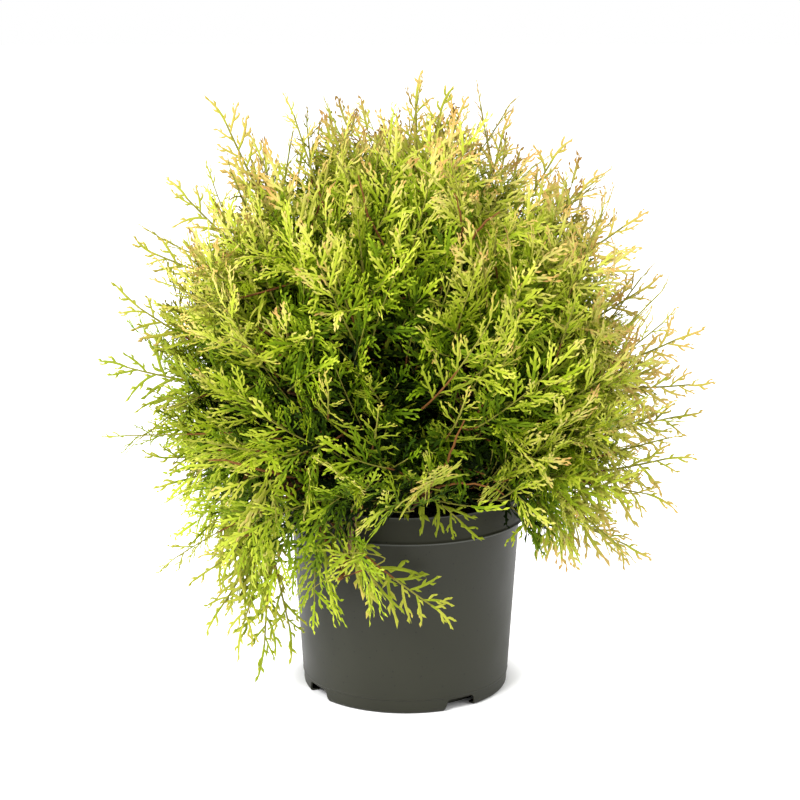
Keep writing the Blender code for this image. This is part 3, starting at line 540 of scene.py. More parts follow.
def sleeve_faces(rings, sides):
    """Faces of a closed tube: its foot, the quads from ring to ring, and its tip."""
    faces = [tuple(reversed(range(sides)))]
    for low in range(0, (rings - 1) * sides, sides):
        high = low + sides
        faces += [(low + side, low + (side + 1) % sides, high + (side + 1) % sides, high + side)
                  for side in range(sides)]
    return faces + [tuple(range((rings - 1) * sides, rings * sides))]


def limb_surface(path, radii, sides, lobes=None):
    """Vertices, faces and bark coordinates of a limb with furrowed bark through the path."""
    vertices, grain = [], []
    run = 0.0
    for index, (point, turn) in enumerate(along_path(path)):
        radius = radii[index]
        run += (point - path[max(index - 1, 0)]).length
        for side in range(sides):
            angle = math.tau * side / sides
            swell = 1.0 + BARK_RELIEF * furrows(angle, run, radii[0])
            if lobes:
                swell += lobes[index] * math.cos(FLARE_LOBES * angle)
            ring = Vector((math.cos(angle), math.sin(angle), 0.0)) * radius * swell
            vertices.append(point + turn @ ring)
            grain.append((side / sides * radii[0] * math.tau, run))
    return vertices, sleeve_faces(len(path), sides), grain


def limb_piece(name, limbs):
    """One mesh of several limbs' surfaces, with the bark's coordinates as its UV map."""
    vertices, faces, grain = [], [], []
    for limb_vertices, limb_faces, limb_grain in limbs:
        first = len(vertices)
        vertices += limb_vertices
        faces += [tuple(first + corner for corner in face) for face in limb_faces]
        grain += limb_grain
    obj = add_piece(name, vertices, faces)
    layer = obj.data.uv_layers.new(name="bark")
    corners = [grain[loop.vertex_index] for loop in obj.data.loops]
    layer.data.foreach_set("uv", [value for pair in corners for value in pair])
    return obj


def bark_material():
    """Thin reddish bark: grey-brown ridges over rusty furrows, in fibres along the limb."""
    colours = ((0.045, 0.018, 0.010), (0.150, 0.062, 0.032), (0.240, 0.150, 0.100))
    material, shader = principled("fibrous_bark", colours[1], 0.85)
    place = add_node(material, "UVMap", {"uv_map": "bark"})
    stretch = add_node(material, "Mapping", Scale=(1800.0, 160.0, 1.0))
    fibre = add_node(material, "TexNoise", Scale=1.0, Detail=4.0, Roughness=0.6)
    link(material, place, "UV", stretch, "Vector")
    link(material, stretch, "Vector", fibre, "Vector")
    tint = ramp_between(material, fibre, "Fac", tuple(zip((0.30, 0.52, 0.74), colours)))
    link(material, tint, "Color", shader, "Base Color")
    roughen(material, shader, fibre, 0.7, 0.0003)
    return material


trunk_heights = ramp(trunk_low.z, TRUNK_TOP, round((TRUNK_TOP - SOIL_TOP) / BARK_STEP))
trunk_lobes = [FLARE_RELIEF * flare_share(height) for height in trunk_heights]
trunk = limb_piece("trunk_bark", [limb_surface([trunk_point(height) for height in trunk_heights],
                                               [trunk_radius(height) for height in trunk_heights],
                                               TRUNK_SIDES, trunk_lobes)])
shade_smooth(trunk, 60.0)
bark = bark_material()
trunk.data.materials.append(bark)
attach(trunk, "root")
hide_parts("trunk")


# ---- Boughs -------------------------------------------------------------------------------------
# The limbs of the plant, in three tiers and two that arch over the rim.  Each grows out of the
# trunk with a swollen collar, leaves it nearly flat, turns up and tapers to its tip.
class Ring(NamedTuple):
    """One tier of masses of foliage, and the boughs that carry it."""

    kind: str
    count: int
    radius: float
    height: float
    first_azimuth: float
    bough_radius: float
    bough_low: float


RINGS = (
    Ring("skirt", 7, 0.138, 0.182, 223.5, 0.066, 0.162),
    Ring("middle", 7, 0.136, 0.256, 186.0, 0.062, 0.206),
    Ring("upper", 5, 0.100, 0.334, 180.0, 0.042, 0.260),
)
TOP_MIDDLE = Vector((0.008, 0.0, 0.398))
WEEPING_BOUGHS = ((197.8, 0.1705), (249.2, 0.1870))     # azimuth, and height on the trunk
WEEPING_RADIUS = 0.140
WEEPING_HEIGHT = 0.106
WEEPING_START = Vector((0.042, 0.0, 0.006))     # out from the axis, and up from its place on the trunk
WEEPING_BEND = Vector((0.105, 0.0, 0.187))
WEEPING_END = Vector((0.120, 0.0, 0.138))
WEEPING_BOUGH_RADIUS = 0.0034
BOUGH_SPREAD = 0.030        # stretch of the trunk that a tier's boughs leave from
BOUGH_SHARE = 0.55          # thickness against the trunk's there
BOUGH_SAG = 0.16
BOUGH_LIFT = 0.05           # how far a bough's tip stands over the line to its mass
BOUGH_COLLAR = 0.45         # how much thicker a bough is where it leaves the trunk
BOUGH_COLLAR_LENGTH = 0.007
BOUGH_SIDES = 20
STEM_RADIUS = 0.0019


class Mass(NamedTuple):
    """One mass of foliage: where its middle is, and the curve and radius of its bough."""

    name: str
    kind: str
    middle: Vector
    bough: list
    bough_radius: float


def ring_masses(ring):
    """The masses of one tier; neighbours' boughs leave the trunk at heights well apart."""
    masses = []
    for index in range(ring.count):
        middle = polar(ring.radius, ring.first_azimuth + 360.0 * index / ring.count, ring.height)
        level = index * (ring.count // 2) % ring.count
        start = trunk_point(ring.bough_low + BOUGH_SPREAD * level / ring.count)
        share = ring.bough_radius / ring.radius
        rise = (middle.z - start.z) * (share + BOUGH_LIFT)
        end = Vector((middle.x * share, middle.y * share, start.z + rise))
        bend = start.lerp(end, 0.5) - UP * (end.z - start.z) * BOUGH_SAG
        bough_radius = trunk_radius(start.z) * BOUGH_SHARE
        masses.append(Mass(f"{ring.kind}_{index + 1}", ring.kind, middle, [start, bend, end], bough_radius))
    return masses


def weeping_masses():
    """The masses that hang beside the pot from boughs that pass over its rim."""
    masses = []
    for index, (azimuth, place) in enumerate(WEEPING_BOUGHS):
        bough = [
            trunk_point(place),
            polar(WEEPING_START.x, azimuth, place + WEEPING_START.z),
            polar(WEEPING_BEND.x, azimuth, WEEPING_BEND.z),
            polar(WEEPING_END.x, azimuth, WEEPING_END.z),
        ]
        middle = polar(WEEPING_RADIUS, azimuth, WEEPING_HEIGHT)
        masses.append(Mass(f"weeping_{index + 1}", "weeping", middle, bough, WEEPING_BOUGH_RADIUS))
    return masses


def bough_surface(mass):
    """A bough's bark from inside the trunk to its tip."""
    length = sum((b - a).length for a, b in zip(mass.bough, mass.bough[1:]))
    steps = round(length / BARK_STEP)
    path = [bezier(mass.bough, share) for share in ramp(0.0, 1.0, steps)]
    radii = []
    for index, radius in enumerate(ramp(mass.bough_radius, STEM_RADIUS, steps)):
        run = index * length / steps / BOUGH_COLLAR_LENGTH
        radii.append(radius * (1.0 + BOUGH_COLLAR * math.exp(-run * run / 2.0)))
    return limb_surface(path, radii, BOUGH_SIDES)


limb_masses = [mass for ring in RINGS for mass in ring_masses(ring)] + weeping_masses()
boughs = limb_piece("bough_bark", [bough_surface(mass) for mass in limb_masses])
shade_smooth(boughs, 60.0)
boughs.data.materials.append(bark)
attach(boughs, "root")
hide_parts(*[f"bough_{mass.name}" for mass in limb_masses])


# ---- Twigs --------------------------------------------------------------------------------------
# Each bough goes on in one stem, and the stem branches into twigs that run out through the crown
# and on along the fronds that they carry.  Young wood is rusty red, and green-gold near its end.  Old
# wood at the twigs' feet, inside the crown, is dark brown, darkened further as painted shade.
CROWN_MIDDLE = 0.236
CROWN_RADIUS = 0.187
CROWN_RISE = 0.206          # from the middle to the top
CROWN_DROP = 0.150          # from the middle to the underside
SHOULDER = 2.3              # how square the crown is over its middle: 2 is round
UNDERSIDE = 4.0             # and under it
CENTRE = UP * CROWN_MIDDLE


class Growth(NamedTuple):
    """How the fronds of one kind grow, and the sprays on them."""

    length: float           # against FROND_LENGTH
    bark: tuple             # the rings of the twig from which it is rusty, and green
    widths: tuple           # against TWIG_RADIUS and TWIG_END_RADIUS
    spacing: float          # from spray to spray
    pattern: str            # of the sprays; their length decides where it is empty
    scale: float            # of the sprays


GROWTHS = {
    "outer": Growth(1.0, (4, 6), (1.0, 1.0), 0.0088, "", 1.0),
    "inner": Growth(0.8, (4, 6), (1.0, 1.0), 0.0105, "shaded", 1.0),
    "low": Growth(0.75, (4, 6), (1.0, 1.0), 0.0105, "shaded", 1.0),
    "weeping": Growth(0.46, (1, 2), (0.6, 1.0), 0.0088, "", 1.0),
    "stray": Growth(1.06, (1, 9), (1.0, 1.7), 0.0090, "thin", 0.75),
    "leader": Growth(1.0, (1, 9), (1.4, 2.0), 0.0078, "bold", 0.95),
}


class Frond(NamedTuple):
    """A twig: the points that lead to its frond, the frond's axis, and the way its flat side faces."""

    mass: Mass
    kind: str
    lead: list
    axis: list
    face: Vector
    depth: float


def crown_share(point):
    """Less than 1 inside the crown's outline, 1 on it."""
    above = point.z - CROWN_MIDDLE
    level = math.hypot(point.x, point.y) / CROWN_RADIUS
    if above > 0.0:
        return level ** SHOULDER + (above / CROWN_RISE) ** SHOULDER
    return level ** 2 + (-above / CROWN_DROP) ** UNDERSIDE


HALVINGS = 20


def reach_to_outline(start, direction, furthest, size):
    """How far a ray runs inside the crown's outline drawn at a size, by halving."""
    low, high = 0.0, furthest
    for _ in range(HALVINGS):
        half = (low + high) / 2.0
        if crown_share(CENTRE.lerp(start + direction * half, 1.0 / size)) < 1.0:
            low = half
        else:
            high = half
    return low


def crown_point(direction, size):
    """The point on the crown's outline drawn at a size, in a direction from its centre."""
    return CENTRE + direction * reach_to_outline(CENTRE, direction, 2.0 * CROWN_RADIUS, size)


def outward(point):
    """The way out of the crown at a point."""
    sized = Vector((CROWN_RADIUS, CROWN_RADIUS, CROWN_RISE))
    return Vector(a / b for a, b in zip(point - CENTRE, sized)).normalized()


GOLDEN_ANGLE = math.pi * (3.0 - math.sqrt(5.0))


def spread_directions(count):
    """Directions spread evenly over a sphere."""
    directions = []
    for index in range(count):
        height = 1.0 - 2.0 * (index + 0.5) / count
        level = math.sqrt(1.0 - height * height)
        turn = index * GOLDEN_ANGLE
        directions.append(Vector((level * math.cos(turn), level * math.sin(turn), height)))
    return directions


def wild(rng):
    """A random vector."""
    return Vector((rng.gauss(0.0, 1.0), rng.gauss(0.0, 1.0), rng.gauss(0.0, 1.0)))


def tilted(vector, amount, rng):
    """The vector's direction, turned a little at random."""
    return (vector.normalized() + wild(rng) * amount).normalized()


STEM_LEAD = 0.020           # how far a stem goes on straight from its bough's tip
STEM_RISE = {"weeping": 0.8, "top": 0.6}    # how far it heads over its mass's middle, in leads
STEM_REACH = 0.9            # share of the way to there that it goes


def stem_curve(mass):
    """Control points of the mass's stem, from the limb's tip into the mass."""
    heading = (mass.bough[-1] - mass.bough[-2]).normalized()
    end = mass.middle + UP * STEM_LEAD * STEM_RISE.get(mass.kind, 0.0)
    return [mass.bough[-1], mass.bough[-1] + heading * STEM_LEAD, mass.bough[-1].lerp(end, STEM_REACH)]


POT_CLEARANCE = 0.0015


def clear_of_pot(point):
    """True where a point is outside the pot and above the ground, or over the peat."""
    level = math.hypot(point.x, point.y)
    if level > COLLAR_RADIUS + POT_CLEARANCE or point.z > POT_HEIGHT + POT_CLEARANCE:
        return point.z > POT_CLEARANCE * 2.0
    return level < COLLAR_RADIUS - POT_WALL - POT_CLEARANCE and point.z > SOIL_TOP + POT_CLEARANCE


OPEN_FRONT = (-0.014, 0.076)    # the stretch of the rim that the crown leaves free, from side to side
OPEN_RISE = 0.28                # how steeply the crown's underside rises out from the rim there
OPEN_GAP = 0.004
OPEN_FROM = 0.9                 # how far out foliage starts to hide the rim, in collar radii


def covers_rim(point):
    """True where foliage would hang before the free stretch of the rim."""
    level = math.hypot(point.x, point.y)
    if point.y > 0.0 or level < COLLAR_RADIUS * OPEN_FROM or not OPEN_FRONT[0] < point.x < OPEN_FRONT[1]:
        return False
    return point.z < POT_HEIGHT + OPEN_GAP + OPEN_RISE * (level - COLLAR_RADIUS)


WEEPING_REACH = 0.143       # how far out from the pot's middle the weeping masses come
WEEPING_LOWEST = {"weeping_1": 0.028, "weeping_2": 0.088}


def hangs_right(point, mass, kind):
    """True where a frond of this kind may have a leaf."""
    if kind == "weeping":
        within = math.hypot(point.x, point.y) < WEEPING_REACH and point.z > WEEPING_LOWEST[mass.name]
        return within and clear_of_pot(point)
    if kind == "low" and point.z < POT_HEIGHT + POT_CLEARANCE * 2.0:
        return False
    return clear_of_pot(point) and (kind == "leader" or not covers_rim(point))


FROND_STEPS = 6
LEAD_STEPS = 6
LEAD_BEND = 0.35            # share of a twig's way on which it turns into the frond's direction
LEAD_BOW = 0.04


def frond_axis(root, direction, length, arch):
    """Points along a frond, which sets off in a direction and bends by the arch at its end."""
    return [root + direction * length * share + arch * share ** 2 for share in ramp(0.0, 1.0, FROND_STEPS)]


def twig_lead(stem, share, root, direction):
    """A twig's way from its place on the stem to the frond's root, where it takes the frond's direction."""
    start = bezier(stem, share)
    reach = (root - start).length
    bend = root - direction * reach * LEAD_BEND
    controls = [start, start.lerp(bend, 0.5) + UP * reach * LEAD_BOW, bend, root]
    return [bezier(controls, along) for along in ramp(0.0, 1.0, LEAD_STEPS)]


DROOP_AZIMUTH = 222.0       # the side on which the crown hangs lowest
LEAST_DROOP = 0.1
DROOP_FOCUS = 6             # how narrow that side is


def droop_at(point):
    """How much the crown hangs at a place: 1 on its lowest side, a little on the other."""
    turn = math.atan2(point.y, point.x) - math.radians(DROOP_AZIMUTH)
    return LEAST_DROOP + (1.0 - LEAST_DROOP) * max(0.0, math.cos(turn)) ** DROOP_FOCUS


OPEN_SECTOR = (262.0, 300.0)    # where no shaded fronds hide the peat, in degrees


def in_open_sector(point):
    """True on the side where the crown is open over the peat."""
    azimuth = math.degrees(math.atan2(point.y, point.x)) % 360.0
    return OPEN_SECTOR[0] < azimuth < OPEN_SECTOR[1]


HOLLOWS = (                 # direction, width in radians, depth against the crown's size; < 0 is a swelling
    ((-0.06, -0.97, 0.24), 0.36, 0.26),
    ((0.13, -0.98, -0.14), 0.40, 0.27),
    ((-0.24, -0.51, 0.82), 0.20, 0.12),
    ((0.28, -0.66, 0.70), 0.20, 0.18),
    ((0.92, 0.36, 0.10), 0.34, 0.16),
    ((-0.50, 0.82, 0.25), 0.38, 0.18),
    ((0.35, 0.90, -0.10), 0.34, 0.16),
    ((0.62, -0.10, 0.78), 0.24, 0.25),
    ((0.44, 0.00, 0.90), 0.27, 0.36),
    ((-0.34, 0.00, 0.94), 0.22, 0.34),
    ((-0.76, 0.00, 0.65), 0.15, 0.10),
    ((0.84, -0.10, 0.55), 0.17, 0.30),
    ((0.95, -0.05, 0.30), 0.14, 0.26),
    ((0.98, -0.05, 0.10), 0.12, 0.14),
    ((-0.95, -0.10, -0.15), 0.14, 0.06),
    ((-0.93, -0.12, -0.36), 0.24, 0.22),
    ((0.97, -0.10, -0.16), 0.18, -0.20),
    ((0.88, -0.12, -0.46), 0.26, 0.28),
    ((-0.99, -0.05, 0.06), 0.13, -0.20),
    ((-0.90, 0.00, 0.40), 0.16, 0.16),
)


def fullness(direction):
    """How far out the crown reaches in a direction: less than 1 over a hollow."""
    full = 1.0
    for middle, width, depth in HOLLOWS:
        apart = direction.angle(Vector(middle)) / width
        full -= depth * math.exp(-apart * apart)
    return full


LEAN = (22.0, 62.0)         # degrees between a frond and the way out of the crown
DRIFT_RISE = 0.8            # how much the fronds of the upper half lean upwards
DRIFT_FALL = 0.5            # and those of the lower half downwards
LEVEL_OUT = 0.8             # how level the lower half's fronds set off, where it doesn't hang
LOW_FADE = 0.05             # height over which the lower half passes into the upper
FROND_TRIES = 12
FROND_LENGTH = 0.072
FROND_SPREAD = (0.82, 1.12)
LEAST_FROND = 0.040
OUTER_SIZE = (0.90, 1.02)   # where the outer fronds end, as a share of the crown's outline
INNER_SIZE = 0.86
ARCH_UP = 0.12              # how far a frond's end curves up, as a share of its length
ARCH_DOWN = 0.14            # and down, where the crown hangs
ARCH_SPREAD = 0.10
ARCH_SWAY = 0.06
FACE_SPREAD = 0.35
TWIG_START = (0.25, 1.0)    # the part of the stem that twigs branch from
STRAY_SHARE = 1.5           # the furthest that stray shoots stand out, as a share of the crown


def grow_frond(mass, stem, root, away, kind, full, rng):
    """One frond from a root in the crown, clear of the pot, or none where there is no room."""
    low = min(1.0, max(0.0, (CROWN_MIDDLE - root.z) / LOW_FADE))
    droop = low * (1.0 if kind == "weeping" else droop_at(root))
    if kind != "weeping":
        away = Vector((away.x, away.y, away.z * (1.0 - LEVEL_OUT * (low - droop)))).normalized()
    for attempt in range(FROND_TRIES):
        ease = attempt / FROND_TRIES
        sway = away.cross(wild(rng)).normalized()
        rise = DRIFT_RISE * (1.0 - low) * (1.0 - ease) + DRIFT_FALL * (low - droop * 2.0)
        drift = sway + UP * rise
        drift = (drift - away * drift.dot(away)).normalized()
        lean = math.radians(rng.uniform(*LEAN) * (1.0 - ease / 2.0))
        direction = away * math.cos(lean) + drift * math.sin(lean)
        face = tilted(away * math.sin(lean) - drift * math.cos(lean), FACE_SPREAD, rng)
        length = FROND_LENGTH * rng.uniform(*FROND_SPREAD) * GROWTHS[kind].length
        if kind in ("outer", "inner", "low"):
            size = full * (rng.uniform(*OUTER_SIZE) if kind == "outer" else INNER_SIZE)
            length = max(LEAST_FROND, reach_to_outline(root, direction, length, size))
        lift = ARCH_UP * (1.0 - low) - ARCH_DOWN * droop
        arch = UP * length * (lift + rng.gauss(0.0, ARCH_SPREAD)) + wild(rng) * length * ARCH_SWAY
        axis = frond_axis(root, direction, length, arch)
        if all(hangs_right(point, mass, kind) for point in axis):
            lead = twig_lead(stem, rng.uniform(*TWIG_START), root, direction)
            past = kind == "stray" and crown_share(axis[-1]) > STRAY_SHARE
            return [] if past else [Frond(mass, kind, lead, axis, face, crown_share(axis[-1]))]
    return []


LEADER_TIPS = (
    (-0.231, -0.020, 0.261), (-0.220, -0.010, 0.312), (-0.186, -0.030, 0.166), (-0.181, 0.010, 0.397),
    (-0.150, -0.050, 0.062), (-0.130, 0.150, 0.325), (-0.144, 0.000, 0.459), (-0.110, -0.058, 0.030),
    (-0.030, 0.225, 0.260), (-0.010, -0.118, 0.100), (0.008, 0.000, 0.476), (0.020, -0.224, 0.230),
    (0.032, -0.114, 0.087), (0.045, 0.010, 0.462), (0.080, 0.070, 0.440), (0.110, 0.160, 0.330),
    (0.150, 0.110, 0.150), (0.180, -0.010, 0.374), (0.184, -0.050, 0.118), (0.197, 0.030, 0.316),
    (0.215, -0.050, 0.196), (0.235, -0.012, 0.243),
)
SHOOT_TIPS = (              # thinner shoots, which the solids leave out
    (0.222, -0.030, 0.288), (0.145, 0.000, 0.405), (0.200, -0.060, 0.165), (-0.200, -0.040, 0.235),
    (-0.160, -0.060, 0.100), (-0.128, -0.020, 0.420), (-0.060, 0.000, 0.440), (0.030, -0.030, 0.468),
    (0.118, -0.020, 0.430), (-0.205, -0.010, 0.350), (0.228, 0.010, 0.215), (0.160, -0.080, 0.135),
    (-0.085, -0.075, 0.050), (-0.130, -0.060, 0.048), (-0.196, -0.040, 0.190), (0.052, -0.112, 0.152),
)
LEADER_SPRAY = 0.016        # the last spray of a leader, past the end of its axis
LEADER_SPREAD = (1.05, 1.3)
LEADER_OUT = 0.04
LEADER_ARCH = 0.05
LEADER_SWAY = 0.02
LEADER_TILT = 0.04
LEADER_FACE = Vector((0.0, -1.0, 0.25))
LEADER_FACE_SPREAD = 0.22
LEADER_AIM = (0.5, 1.0)     # the part of the stem that a leader points away from
LEADER_START = (0.4, 1.0)   # and the part that its twig branches from
LEADER_DEPTH = 1.2          # where it ends, as a share of the crown: past its outline


def grow_leader(mass, stem, tip, rng):
    """A long thin shoot that ends at a tip, out of the crown."""
    start = bezier(stem, rng.uniform(*LEADER_AIM))
    direction = tilted(tip - start + outward(tip) * LEADER_OUT, LEADER_TILT, rng)
    length = FROND_LENGTH * rng.uniform(*LEADER_SPREAD) * GROWTHS["leader"].length
    arch = UP * length * LEADER_ARCH + wild(rng) * length * LEADER_SWAY
    root = tip - direction * (length + LEADER_SPRAY) - arch
    face = tilted(LEADER_FACE, LEADER_FACE_SPREAD, rng)
    lead = twig_lead(stem, rng.uniform(*LEADER_START), root, direction)
    return Frond(mass, "leader", lead, frond_axis(root, direction, length, arch), face, LEADER_DEPTH)


SEED = 31
LAYERS = (                  # kind of frond, how many, where they start as shares of the crown's size
    ("outer", 780, 0.62, 0.80),
    ("inner", 420, 0.36, 0.62),
    ("inner", 90, 0.12, 0.36),
    ("stray", 130, 0.72, 0.80),
)
ROOT_SPREAD = 0.06          # how far a frond's place strays from the even spread
LOW_FRONDS = 260            # shaded fronds that lie over the peat and the rim
LOW_RADIUS = (0.25, 1.0)    # the nearest that they start, and how much further out, in collar radii
LOW_HEIGHT = (0.5, 3.5)     # how high over the rim, against ROOT_OVER_POT
LOW_RISE = 0.12             # how much they point up
LOW_SPREAD = 0.2
WEEPING_FRONDS = 18         # in each weeping mass
BRIDGING = 0.18             # share of the fronds that reach across a hollow
HANGING = 0.5               # past this droop, fronds may grow lower than the rim
ROOT_OVER_POT = 0.012       # lowest a root of the globe sits over the rim, or out from it
INNER_HEIGHT = (0.5, 1.5)   # shaded ones that would be lower sit this high over the rim, against that
WEEPING_CORE = Vector((0.018, 0.040, 0.034))
WEEPING_FILL = 0.85
WEEPING_RISE = 0.030
WEEPING_LOW = -0.30         # the lowest part of a weeping core that fronds grow from
WEEPING_FALL = 0.25         # how much they point down


def grow_crown(masses):
    """Every frond of the plant: leaders, the crown's surface, what is under it, and the weeping ones."""
    rng = random.Random(SEED)
    stems = {mass.name: stem_curve(mass) for mass in masses}
    globe = [mass for mass in masses if mass.kind != "weeping"]
    fronds = []

    def nearest(place, among):
        return min(among, key=lambda mass: (mass.middle - place).length)

    for tip in LEADER_TIPS + SHOOT_TIPS:
        owner = nearest(Vector(tip), masses)
        fronds.append(grow_leader(owner, stems[owner.name], Vector(tip), rng))
    for kind, count, least, most in LAYERS:
        for direction in spread_directions(count):
            direction = tilted(direction, ROOT_SPREAD, rng)
            full = 1.0 if rng.random() < BRIDGING else fullness(direction)
            grown = min(full, 1.0) if kind == "stray" else full
            root = crown_point(direction, rng.uniform(least, most) * grown)
            beside = math.hypot(root.x, root.y) > COLLAR_RADIUS + ROOT_OVER_POT
            if root.z < POT_HEIGHT + ROOT_OVER_POT and not (beside and droop_at(root) > HANGING):
                if kind != "inner" or beside or in_open_sector(root):
                    continue
                root.z = POT_HEIGHT + ROOT_OVER_POT * rng.uniform(*INNER_HEIGHT)
            owner = nearest(root, globe)
            away = outward(crown_point(direction, 1.0))
            fronds += grow_frond(owner, stems[owner.name], root, away, kind, full, rng)
    for index in range(LOW_FRONDS):
        azimuth = math.degrees(index * GOLDEN_ANGLE)
        radius = COLLAR_RADIUS * (LOW_RADIUS[0] + LOW_RADIUS[1] * math.sqrt((index + 0.5) / LOW_FRONDS))
        root = polar(radius, azimuth, POT_HEIGHT + ROOT_OVER_POT * rng.uniform(*LOW_HEIGHT))
        if not in_open_sector(root):
            owner = nearest(root, globe)
            away = (polar(1.0, azimuth, LOW_RISE) + wild(rng) * LOW_SPREAD).normalized()
            fronds += grow_frond(owner, stems[owner.name], root, away, "low", 1.0, rng)
    for mass in masses:
        if mass.kind == "weeping":
            along = UP.cross(mass.middle).normalized()
            out = along.cross(UP)
            for direction in spread_directions(WEEPING_FRONDS):
                if direction.z < WEEPING_LOW:
                    continue
                offset = (out * direction.x * WEEPING_CORE.x + along * direction.y * WEEPING_CORE.y
                          + UP * direction.z * WEEPING_CORE.z)
                away = (direction - UP * WEEPING_FALL).normalized()
                root = mass.middle + UP * WEEPING_RISE + offset * WEEPING_FILL
                fronds += grow_frond(mass, stems[mass.name], root, away, "weeping", 1.0, rng)
    return fronds


def tube(path, radii, sides):
    """Vertices, faces and the ring of each face of a plain closed tube."""
    vertices = []
    for radius, (point, turn) in zip(radii, along_path(path)):
        for side in range(sides):
            angle = math.tau * side / sides
            vertices.append(point + turn @ Vector((math.cos(angle) * radius, math.sin(angle) * radius, 0.0)))
    last = len(path) - 1
    rings = [0] + [ring for ring in range(last) for _ in range(sides)] + [last]
    return vertices, sleeve_faces(len(path), sides), rings


SHOWING_LIMBS = (           # limbs that show: the mass, the course after the bough's tip, the radius
    ("skirt_1", ((-0.070, -0.090, 0.192), (-0.088, -0.148, 0.200), (-0.112, -0.148, 0.217),
                 (-0.142, -0.128, 0.213)), 0.0016),
    ("weeping_1", ((-0.086, -0.090, 0.176), (-0.096, -0.116, 0.146), (-0.134, -0.108, 0.150)), 0.0015),
    ("skirt_2", ((0.012, -0.118, 0.176), (0.026, -0.150, 0.206), (0.041, -0.160, 0.250)), 0.0017),
    ("skirt_2", ((0.012, -0.118, 0.178), (0.036, -0.150, 0.214), (0.070, -0.146, 0.192)), 0.0012),
    ("upper_3", ((0.036, -0.080, 0.352), (0.036, -0.118, 0.366), (0.066, -0.124, 0.392)), 0.0018),
    ("upper_3", ((0.036, -0.080, 0.352), (0.046, -0.120, 0.376), (0.034, -0.116, 0.404)), 0.0013),
    ("upper_2", ((-0.030, -0.078, 0.352), (-0.024, -0.104, 0.380), (-0.034, -0.096, 0.415)), 0.0013),
)
SHOWING_STEPS = 18
SHOWING_KINK = 0.0005       # how far it strays from its course at each step
SHOWING_KNOBS = (0.85, 1.2)
SHOWING_TAPER = 0.35
STEM_STEPS = 10
STEM_SIDES = 8
STEM_END_RADIUS = 0.0011
STEM_BARK = (3, 99)         # as a growth's bark: never green
TWIG_RADIUS = 0.0011
TWIG_END_RADIUS = 0.00035
TWIG_SIDES = 4


def twig_piece(mass, fronds, materials):
    """The stem and the twigs of one mass; young wood is rusty, and green along the frond."""
    vertices, faces, slots = [], [], []

    def add(path, radii, sides, rusty_from, green_from):
        first = len(vertices)
        tube_vertices, tube_faces, rings = tube(path, radii, sides)
        vertices.extend(tube_vertices)
        faces.extend(tuple(first + corner for corner in face) for face in tube_faces)
        slots.extend((ring >= rusty_from) + (ring >= green_from) for ring in rings)

    knobs = random.Random(SEED)
    stem = stem_curve(mass)
    add([bezier(stem, share) for share in ramp(0.0, 1.0, STEM_STEPS)],
        ramp(STEM_RADIUS, STEM_END_RADIUS, STEM_STEPS), STEM_SIDES, *STEM_BARK)
    for owner, course, radius in SHOWING_LIMBS:
        if owner == mass.name:
            controls = [stem[0]] + [Vector(point) for point in course]
            path = [bezier(controls, share) + wild(knobs) * SHOWING_KINK
                    for share in ramp(0.0, 1.0, SHOWING_STEPS)]
            radii = [size * knobs.uniform(*SHOWING_KNOBS)
                     for size in ramp(radius, radius * SHOWING_TAPER, SHOWING_STEPS)]
            add(path, radii, STEM_SIDES, *STEM_BARK)
    for frond in fronds:
        path = frond.lead + frond.axis[1:]
        growth = GROWTHS[frond.kind]
        ends = (TWIG_RADIUS * growth.widths[0], TWIG_END_RADIUS * growth.widths[1])
        add(path, ramp(*ends, len(path) - 1), TWIG_SIDES, *growth.bark)
    obj = add_piece(f"twigs_{mass.name}", vertices, faces)
    for material in materials:
        obj.data.materials.append(material)
    obj.data.polygons.foreach_set("material_index", slots)
    obj.data.shade_smooth()
    return obj


crown_masses = limb_masses + [
    Mass("top", "top", TOP_MIDDLE, [trunk_point(TRUNK_TOP - STEM_LEAD), trunk_point(TRUNK_TOP)], 0.0)
]
crown_fronds = grow_crown(crown_masses)
twig_materials = []
# The first of these, for the twigs' feet inside the crown, is old bark made darker still as painted shade.
for name, colour in (("old_twig_painted_shade", (0.058, 0.025, 0.011)), ("rusty_twig", (0.135, 0.055, 0.014)),
                     ("green_twig", (0.165, 0.160, 0.024))):
    material, shader = principled(name, colour, 0.8)
    shader.inputs["Specular IOR Level"].default_value = 0.1
    twig_materials.append(material)
for mass in crown_masses:
    mass_fronds = [frond for frond in crown_fronds if frond.mass is mass]
    twigs = twig_piece(mass, mass_fronds, twig_materials)
    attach(twigs, "root")


# ---- Sprays -------------------------------------------------------------------------------------
# Tiny scale leaves pressed to flat branchlets, which fork in one plane into a spray.  Sprays stand
# in two ranks along each frond.  Their base colours hold painted light and shade: deep green deep in
# the crown, lime green at its surface, lighter towards its edge, top and right side, and darker towards
# its left.  The youngest tips turn gold and rust in the cold.
class Pattern(NamedTuple):
    """A spray laid flat: corners (along, across, up), triangles, and the colour lift of each."""

    corners: np.ndarray
    triangles: np.ndarray
    lifts: np.ndarray
    reach: np.ndarray
    length: float


